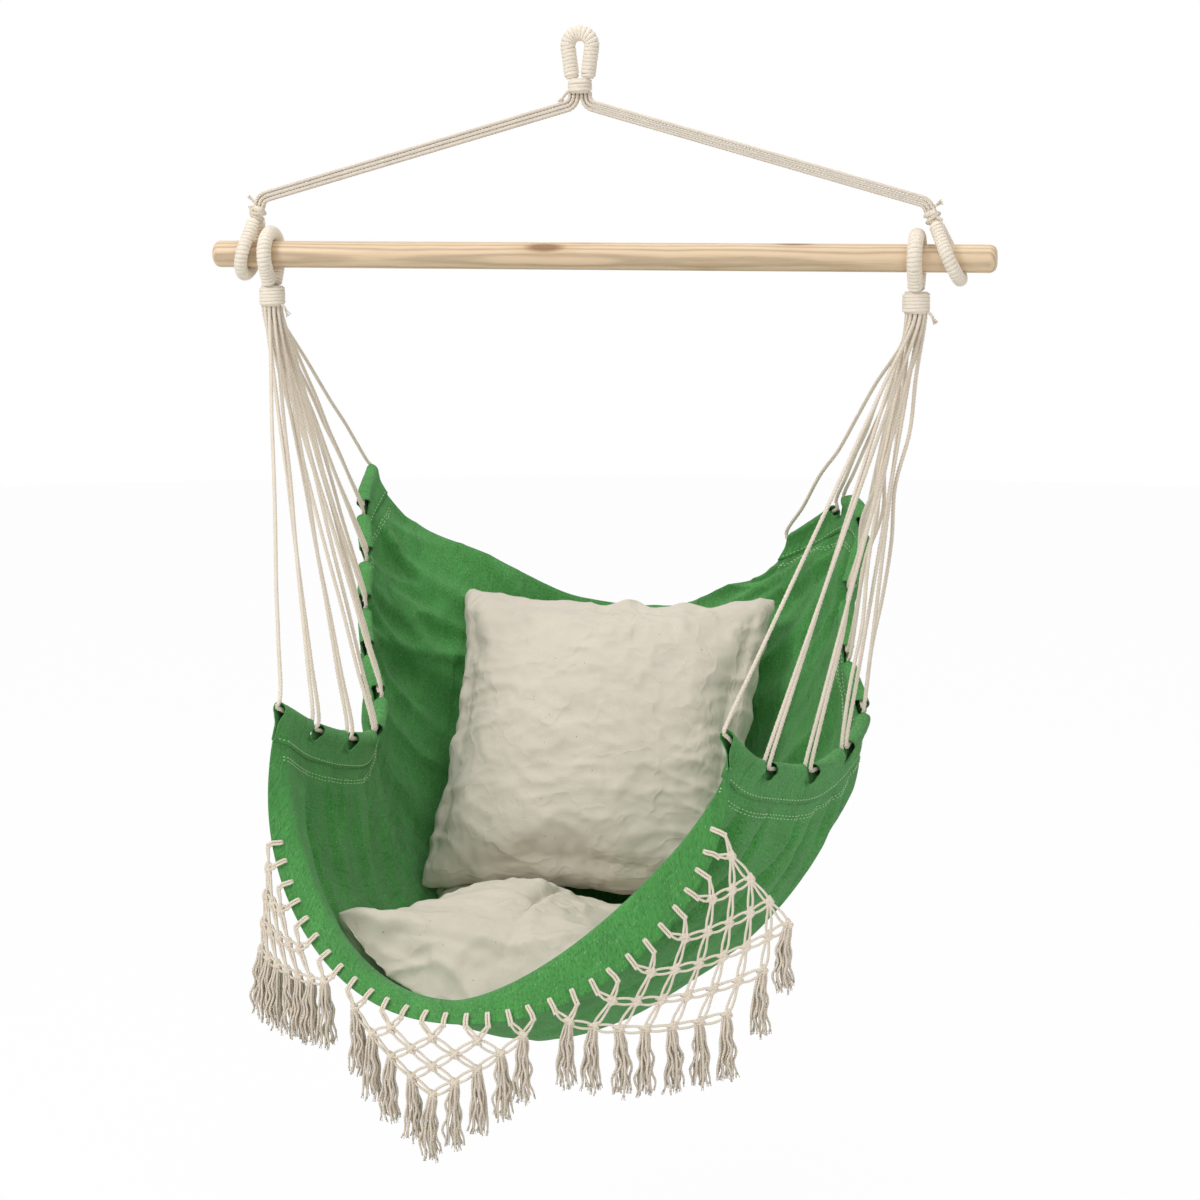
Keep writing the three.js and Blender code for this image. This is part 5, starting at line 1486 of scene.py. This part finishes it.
class HAMMOCK_OT_fringe(bpy.types.Operator):
    """Knot the net along the front hem and tie its tassels"""

    bl_idname = "hammock.fringe"
    bl_label = "Fringe"

    STRAND_STEPS, STRAND_BOWS, HEADER_LEAN = 8, (1.2, 2.6), 2.2
    WRAPS = ((-3.2, 0.3), (0.3, -0.35), (3.8, 0.25))  # height and slant
    WRAP_STEPS, WRAP_WIDTH, WRAP_DEPTH = 16, 4.2, 2.7
    CROSSING = (  # across, down and out
        (-4.4, -3.8, 0.6), (-1.6, -1.7, 3.6), (1.6, 1.7, 3.8), (4.4, 4, 0.8),
    )
    TASSEL_CORDS, TASSEL_STEPS, TASSEL_TURN, TASSEL_SWAY = 13, 15, 2.4, 5
    TASSEL_LENGTHS, TASSEL_WAVES, TASSEL_WAVE_COUNT = (0.88, 1.0), (1.2, 3.0), 2.3
    TASSEL_ROOM, TASSEL_EASE, TASSEL_LOFT, TASSEL_START = 4.5, 0.7, 1.08, 1.5
    TIP_SHARE = 0.8

    def execute(self, context):
        hems = [Section.at(side, 0).length for side in (-1, 1)]
        whole = sum(hems) - FRINGE_LEFT_DROP - FRINGE_RIGHT_DROP
        self.hems, self.pitch = hems, whole / (HEADER_COUNT - 1)
        lappets = {
            "left": Lappet(0, 7, False, True, 7),
            "centre": Lappet(8, 17, True, True, 5),
            "right": Lappet(18, 29, True, False, 7),
        }
        radius = settings().net_cord_diameter / MM / 2
        for number, (name, lappet) in enumerate(lappets.items()):
            chance = random.Random(50 + number)
            lines = [line for strand in lappet.strands() for line in self.strand(strand, chance)]
            for header in range(lappet.first, lappet.last + 1):
                lines += self.header(header, chance)
            for knot in lappet.knots():
                lines += self.knot(knot)
            nodes = [f"fringe_{name}"]
            cord_piece(f"knotted_net_{name}", lines, radius, "seat", nodes,
                       Lay=0.007, Step=0.0014, Sides=8, Strands=2)
            ends = [line for knot in lappet.tassel_knots() for line in self.tassel(knot, chance)]
            cord_piece(f"tassels_{name}", ends, radius * self.TASSEL_LOFT, "seat", nodes,
                       self.taper, Lay=0.009, Step=0.003, Sides=6, Strands=2)
            self.frays(name, ends, chance)
        return {"FINISHED"}

    def taper(self, share):
        """A tassel cord's thickness, less towards its tip."""
        return 1.0 if share < self.TIP_SHARE else 1.0 - (share - self.TIP_SHARE) * 2

    def frays(self, name, ends, chance):
        """The opened fibres at the tip of each tassel cord."""
        brush = []
        for line in ends:
            heading = (line[-1] - line[-2]).normalized()
            brush += frayed(line[-1] - heading * 3, heading, 6, 3, 1.2, chance.randrange(10 ** 6))
        cord_piece(f"tassel_tips_{name}", brush, TIP_RADIUS, "seat",
                   Step=0.0035, Sides=4, Strands=2)

    def hem_across(self, distance):
        reach = FRINGE_LEFT_DROP + distance
        if reach < self.hems[0]:
            return reach / self.hems[0] - 1
        return (reach - self.hems[0]) / self.hems[1]

    def point(self, along, fall, layer):
        """A point of the fringe: along the hem, down from it and out from its middle layer."""
        across = self.hem_across(along)
        edge = cloth_face(across, 0, 0)
        up = (cloth_face(across, CREST_SHARE / 2, 0) - edge).normalized()
        half = STRAND_WIDTH / 2
        ends = [cloth_point(self.hem_across(along + step), 0) for step in (-half, half)]
        run = (ends[1] - ends[0]).normalized()
        face = run.cross(up).normalized()
        stand = CLOTH_THICKNESS / 2 + FRINGE_STAND + NET_THICKNESS / 2
        if fall < 0:
            return edge + up * -fall + face * (stand - 1 + layer)
        corner = edge + face * stand - up * stand
        if fall == 0:
            return corner + (face - up) * layer
        out = Vector((-up.x, -up.y, 0)).normalized()
        spread = (LEFT_SPREAD if across < 0 else RIGHT_SPREAD) * run.z ** 2
        hang = (DOWN + out * spread).normalized()
        aside = (out - hang * out.dot(hang)).normalized()
        return corner + hang * fall + aside * layer

    def strand(self, ends, chance):
        """Two cords that bow apart between their knots."""
        (a, low), (b, high) = ends
        lines = []
        bow = chance.uniform(*self.STRAND_BOWS)
        for side in (-1, 1):
            line = []
            for i in range(self.STRAND_STEPS + 1):
                part = i / self.STRAND_STEPS
                x = lerp(a, b, part) * self.pitch
                y = lerp(low, high, part) * KNOT_DROP
                apart = side * (1.5 + bow * math.sin(math.pi * part))
                slope = math.atan2((high - low) * KNOT_DROP, (b - a) * self.pitch)
                x -= math.sin(slope) * apart
                y = max(0.01, y + math.cos(slope) * apart) if low else max(0.01, y)
                line.append(self.point(x, y, side * 0.7 * math.sin(2 * math.pi * part) + 0.4))
            lines.append(line)
        return lines

    def header(self, number, chance):
        """A pair of cords that goes up the hem's face and through the cloth."""
        x = number * self.pitch
        lean = chance.uniform(-self.HEADER_LEAN, self.HEADER_LEAN)
        lines = []
        for side in (-1, 1):
            aside = x + side * 1.7
            line = [
                self.point(aside, 3, 0.2), self.point(aside, -1, 0.8),
                self.point(aside + lean * 0.5, -HEADER_LENGTH * 0.5, 0.6),
                self.point(aside + lean, -HEADER_LENGTH + 1.5, 0.3),
                self.point(x + side * 1.3 + lean, -HEADER_LENGTH - 0.6, -1.2),
                self.point(x + side * 1.2 + lean, -HEADER_LENGTH - 0.4, -3.8),
            ]
            lines.append(smooth_line(line, 4))
        return lines

    def knot(self, knot):
        """The wraps of a square knot, crossed over on the front."""
        x, y = knot[0] * self.pitch, knot[1] * KNOT_DROP
        lines = []
        for height, slant in self.WRAPS:
            ring = []
            for i in range(self.WRAP_STEPS + 1):
                angle = part_turn(i, self.WRAP_STEPS)
                wide, deep = self.WRAP_WIDTH * math.cos(angle), self.WRAP_DEPTH * math.sin(angle)
                fall = max(0.01, y + height + slant * wide)
                ring.append(self.point(x + wide, fall, deep + 0.3))
            lines.append(ring)
        for side in (-1, 1):
            lines.append(smooth_line([
                self.point(x + side * wide, max(0.01, y + down), deep)
                for wide, down, deep in self.CROSSING
            ], 3))
        return lines

    def tassel(self, knot, chance):
        """Loose cord ends that hang from a knot and part towards their tips."""
        top = self.point(knot[0] * self.pitch, knot[1] * KNOT_DROP, 0.3)
        lines = []
        sway = Vector((chance.uniform(-1, 1), chance.uniform(-0.6, 0.6), 0)) * self.TASSEL_SWAY
        for number in range(self.TASSEL_CORDS):
            angle = self.TASSEL_TURN * number
            far = math.sqrt((number + 0.5) / self.TASSEL_CORDS)
            out = Vector((math.cos(angle), math.sin(angle), 0))
            length = TASSEL_LENGTH * chance.uniform(*self.TASSEL_LENGTHS)
            phase, wave = chance.uniform(0, 6.3), chance.uniform(*self.TASSEL_WAVES)
            waver = Vector((math.cos(phase), math.sin(phase), 0))
            line = []
            for i in range(self.TASSEL_STEPS + 1):
                part = i / self.TASSEL_STEPS
                end = TASSEL_END_RADIUS + self.TASSEL_ROOM
                wide = lerp(TASSEL_TOP_RADIUS, end, part ** self.TASSEL_EASE)
                swing = sway * math.sin(math.pi * part * 0.8)
                bend = math.sin(2 * math.pi * part * self.TASSEL_WAVE_COUNT + phase)
                ripple = waver * (wave * min(1, 2.5 * part) * bend)
                fall = DOWN * (length * part + self.TASSEL_START)
                line.append(top + out * (far * wide) + swing + ripple + fall)
            lines.append(line)
        return lines


class HAMMOCK_OT_seat_cloth(bpy.types.Operator):
    """Hang the seat cloth between its casings"""

    bl_idname = "hammock.seat_cloth"
    bl_label = "Seat cloth"

    ROWS, COLUMNS, EDGE_EASE = 210, 180, 9
    SOFT_ROUNDS, SOFT_SHARE, SOFT_COLUMNS, SOFT, FIRM = 9, 0.08, 20, 0.7, 0.35
    SEW_STEPS, SEW_MARGIN = 250, 4

    def execute(self, context):
        rows, columns = self.ROWS, self.COLUMNS
        base, inward, spots, flat = [], [], [], []
        for row in range(rows + 1):
            share = (row / rows) ** CLOTH_ROW_EASE
            for column in range(columns + 1):
                part = 2 * column / columns - 1
                side = side_of(part)
                across = seam_share(side, share, SEAM_LAP) * part
                edge = min(1.0, (1 - abs(part)) * self.EDGE_EASE)
                direction = cloth_inward(across, share)
                push = fold_offset(across, share) * edge
                base.append(cloth_point(across, share) + direction * push)
                inward.append(direction)
                spots.append((across, share, abs(part), edge))
                flat.append((Section.at(side, share).length * across, share * KEEL.length))
        self.soften(base)
        grid = [
            point + way * self.crease(*spot) for point, way, spot in zip(base, inward, spots)
        ]
        faces = []
        for row in range(rows):
            for column in range(columns):
                a = row * (columns + 1) + column
                faces.append((a, a + 1, a + columns + 2, a + columns + 1))
        mesh = mesh_of("seat", grid, faces)
        unroll(mesh, flat)
        piece = canvas_piece("seat_canvas", mesh, "seat_cloth")
        cloth = surface_of(mesh)
        going = [self.sew(side, name, cloth) for side, name in SIDES]
        going += [piece for piece in bpy.data.objects if piece.name.startswith(FRINGE_PIECES)]
        width = sum(Section.at(side, 0.5).length for side in (-1, 1)) * MM
        return {"FINISHED"}

    def crease(self, across, share, wall, edge):
        """How far the cloth stands out of its smooth form, in creases and between its tabs."""
        depth = settings().wrinkle_depth / MM
        pull = math.cos(2 * math.pi * TAB_COUNT * share) * wall ** 3 * smoothstep(share, 0, 0.08)
        side = side_of(across)
        broad = noise.noise(Vector((across * 2.1, share * 5.5, 4.2)))
        hanging = ridge(Vector((across * 1.4, share * 15, side * 3.1)))
        slanting = ridge(Vector((across * 1.1, (share + 0.2 * wall) * 12, 8.4)))
        small = ridge(Vector((across * 8, share * 24, 5.5)))
        back = smoothstep(share, 0.45, 0.85)
        push = 0.7 * broad - 0.7 * pull + 1.5 * hanging * (0.15 + 0.85 * wall)
        push += (1.8 * slanting * back + 0.35 * small) * (0.35 + 0.65 * wall)
        crest = 1 - math.exp(-((share - CREST_SHARE) / 0.05) ** 2)
        return depth * min(1.3, push) * crest * edge

    def soften(self, grid):
        """Evens the creases that the section leaves at the keel and at the lip's crest."""
        width = self.COLUMNS + 1
        for _ in range(self.SOFT_ROUNDS):
            before = [point.copy() for point in grid]
            for row in range(1, self.ROWS):
                share = (row / self.ROWS) ** CLOTH_ROW_EASE
                for column in range(1, self.COLUMNS):
                    i = row * width + column
                    beside = before[i - 1] + before[i + 1]
                    near = (beside + before[i - width] + before[i + width]) / 4
                    soft = abs(column - width // 2) < self.SOFT_COLUMNS or share < self.SOFT_SHARE
                    grid[i] = before[i].lerp(near, self.SOFT if soft else self.FIRM)

    def sew(self, side, name, surface):
        """Two rows of stitches across the cloth below a casing, on both faces."""
        lift = settings().cloth_thickness / MM / 2 + STITCH_LIFT
        lines = []
        for depth in STITCH_ROWS:
            for face in (-lift, lift):
                line = []
                for i in range(self.SEW_MARGIN, self.SEW_STEPS - self.SEW_MARGIN + 1):
                    spot = Section.at(side, i / self.SEW_STEPS).walk(depth) * MM
                    found, normal, _, _ = surface.find_nearest(spot)
                    line.append(found / MM + normal * face)
                lines.append(line)
        return stitch_piece(f"cloth_stitches_{name}", lines)


class HAMMOCK_OT_pillows(bpy.types.Operator):
    """Fill the two pillows and let them settle in the seat"""

    bl_idname = "hammock.pillows"
    bl_label = "Pillows"

    VOXEL_SIZE, SWELL_ROOM, SETTLE_REACH, FILL = 0.0055, 0.002, 0.09, 0.75
    PRESSURE, QUALITY, FRAMES = 4, 5, 20

    def execute(self, context):
        cover = Kit.take("pillow", lambda: pillow_material(
            "natural_cotton", tuple(settings().pillow_colour), settings().pillow_weave_pitch,
            settings().pillow_crumple))
        under = [surface_of(bpy.data.objects["seat_canvas"].data)]
        lean = Vector((0, math.sin(BACK_PILLOW_LEAN), math.cos(BACK_PILLOW_LEAN)))
        for name, rise, seed, slack in (
            ("seat_pillow", Y_AXIS, 8, 2.3), ("back_pillow", lean, 3, 1.0),
        ):
            even = self.remeshed(frame["nodes"][name])
            start = [vertex.co.copy() for vertex in even.vertices]
            self.swell(even, start)
            self.wrinkle(even, start, rise, seed, slack)
            holder = linked("holder", even)
            holder.modifiers.new("fine", "SUBSURF").levels = 1
            done = self.applied(holder)
            # The second round mends what the first one moves too near to another surface
            for surface in under * 2:
                self.settle(done, surface)
            under.append(surface_of(done))
            plump = fitted(new_object(f"plump_{name}", done, cover), name, "pillow_cloth", name)
        return {"FINISHED"}

    def applied(self, holder):
        """A mesh of the object with its modifiers applied. The object is removed."""
        done = evaluated_mesh(holder)
        bpy.data.objects.remove(holder)
        return done

    def remeshed(self, node):
        """The solid's surface with even small faces."""
        source = node.data.copy()
        face_out(source)
        shell = linked("shell", source)
        even = shell.modifiers.new("even", "REMESH")
        even.mode, even.voxel_size = "VOXEL", self.VOXEL_SIZE
        return self.applied(shell)

    def swell(self, mesh, start):
        """The filling presses the cover out in a cloth simulation."""
        normals = [vertex.normal.copy() for vertex in mesh.vertices]
        for vertex, normal in zip(mesh.vertices, normals):
            vertex.co -= normal * self.SWELL_ROOM
        cloth = linked("swelling", mesh)
        swelling = cloth.modifiers.new("swelling", "CLOTH").settings
        swelling.use_pressure = True
        swelling.uniform_pressure_force = self.PRESSURE
        swelling.effector_weights.gravity = 0
        swelling.quality = self.QUALITY
        scene = bpy.context.scene
        for number in range(1, self.FRAMES + 1):
            scene.frame_set(number)
        moved = self.applied(cloth)
        for vertex, after, before, normal in zip(mesh.vertices, moved.vertices, start, normals):
            out = (after.co - before).dot(normal)
            vertex.co = before + normal * min(SWELL_LIMIT * MM, max(-TOUCH * MM, out))
        bpy.data.meshes.remove(moved)
        scene.frame_set(1)
        mesh.update()

    def wrinkle(self, mesh, start, rise, seed, slack):
        """Dents, creases across the cover, puckers along its edges and the closing seam."""
        depth = settings().pillow_wrinkle_depth
        centre = sum(start, Vector()) / len(start)
        normals = [vertex.normal.copy() for vertex in mesh.vertices]
        for vertex, normal in zip(mesh.vertices, normals):
            away = (vertex.co - centre) / (PILLOW_SIZE * MM / 2)
            u, v = away.x, away.dot(rise)
            rim = smoothstep(max(abs(u), abs(v)), 0.5, 1.0)
            warp = noise.noise_vector(Vector((u * 1.6, v * 1.6, seed))) * 0.5
            broad = noise.noise(Vector((u * 2, v * 2, seed + away.z)))
            long = ridge(Vector((u * 1.8 + warp.x, v * 5.5 + warp.y * 2, seed * 1.7)))
            cross = ridge(Vector((u * 4 + v * 3 + warp.y, v * 3.6 - u * 2 + warp.x, seed + 9)))
            fine = ridge(Vector((u * 8 + warp.x * 3, v * 11 + warp.y * 3, seed + 4)))
            bearing = math.atan2(v, u)
            rays = noise.noise(Vector((bearing * 6.5, away.length * 1.2, seed * 2.3)))
            flap = 1.5 * smoothstep(v, SEAM_PLACE, SEAM_PLACE + SEAM_RAMP) - 0.7
            seam = flap * math.exp(-((v - SEAM_PLACE) / SEAM_SPREAD) ** 2) * (slack - 1)
            push = slack * (0.8 * broad + 0.6 * long) + seam
            push += 0.6 * cross + 0.3 * fine + 1.4 * rays * rim
            vertex.co += normal * (depth * min(2.0, push))
        mesh.update()

    def settle(self, mesh, surface):
        """Keeps the pillow a little off what it lies on."""
        for vertex in mesh.vertices:
            found, normal, _, _ = surface.find_nearest(vertex.co, self.SETTLE_REACH)
            if found is None:
                continue
            room = (vertex.co - found).dot(normal)
            if room < PILLOW_ROOM * MM:
                vertex.co += normal * (PILLOW_ROOM * MM - room)
        mesh.update()


# Settings, panel and registration

def length(name, description, default):
    return FloatProperty(name=name, description=description, default=default, min=0.0,
                         subtype="DISTANCE", unit="LENGTH")


def colour(name, description, default):
    return FloatVectorProperty(name=name, description=description, default=default, size=3,
                               min=0.0, max=1.0, subtype="COLOR")


class HammockChairSettings(bpy.types.PropertyGroup):
    """Sizes and colours of the chair's finish"""

    cord_diameter: length("Cord diameter", "Diameter of the main cords", 0.0046)
    lay_length: length("Lay length", "Length of one full twist of a cord", 0.0135)
    net_cord_diameter: length("Net cord diameter", "Diameter of the fringe's cords", 0.0034)
    fibre_size: length("Fibre size", "Size of the cotton's fibres", 0.0009)
    cloth_thickness: length("Canvas thickness", "Thickness of the seat cloth", 0.0012)
    weave_pitch: length("Weave pitch", "Distance between the canvas threads", 0.0013)
    wrinkle_depth: length("Wrinkle depth", "Depth of the seat's wrinkles", 0.0095)
    crumple_depth: length("Crumple depth", "Depth of the canvas's fine crumples", 0.004)
    pillow_weave_pitch: length(
        "Pillow weave pitch", "Distance between the pillow's threads", 0.0009)
    pillow_wrinkle_depth: length(
        "Pillow wrinkle depth", "Depth of the pillow's wrinkles", 0.0045)
    pillow_crumple: length("Pillow crumple", "Depth of the pillow's pressed creases", 0.0035)
    cord_colour: colour("Cord colour", "Colour of the undyed cotton cord", (0.95, 0.89, 0.795))
    cloth_colour: colour("Canvas colour", "Colour of the dyed canvas", (0.088, 0.375, 0.082))
    thread_colour: colour("Thread colour", "Colour of the sewing thread", (0.5, 0.78, 0.42))
    pillow_colour: colour("Pillow colour", "Colour of the undyed pillow cloth", (0.68, 0.62, 0.52))
    wood_colour: colour("Wood colour", "Colour of the bar", (0.74, 0.56, 0.37))


STEPS = [
    HAMMOCK_OT_stage, HAMMOCK_OT_spreader_bar, HAMMOCK_OT_hanging_eye, HAMMOCK_OT_bar_loops,
    HAMMOCK_OT_bridle_cords, HAMMOCK_OT_clew_cords, HAMMOCK_OT_side_casings,
    HAMMOCK_OT_fringe, HAMMOCK_OT_seat_cloth, HAMMOCK_OT_pillows,
]


class HAMMOCK_PT_panel(bpy.types.Panel):
    """Lists the steps that build the chair"""

    bl_idname = "HAMMOCK_PT_panel"
    bl_label = "Hammock Chair"
    bl_space_type = "VIEW_3D"
    bl_region_type = "UI"
    bl_category = "Hammock Chair"

    def draw(self, context):
        for name in HammockChairSettings.__annotations__:
            self.layout.prop(context.scene.hammock_chair, name)
        for step in STEPS:
            self.layout.operator(step.bl_idname)


CLASSES = [HammockChairSettings, *STEPS, HAMMOCK_PT_panel]


def register():
    for kind in CLASSES:
        bpy.utils.register_class(kind)
    bpy.types.Scene.hammock_chair = PointerProperty(type=HammockChairSettings)


def unregister():
    del bpy.types.Scene.hammock_chair
    for kind in reversed(CLASSES):
        bpy.utils.unregister_class(kind)


def main():
    register()
    for step in STEPS:
        group, name = step.bl_idname.split(".")
        getattr(getattr(bpy.ops, group), name)()


if __name__ == "__main__":
    main()
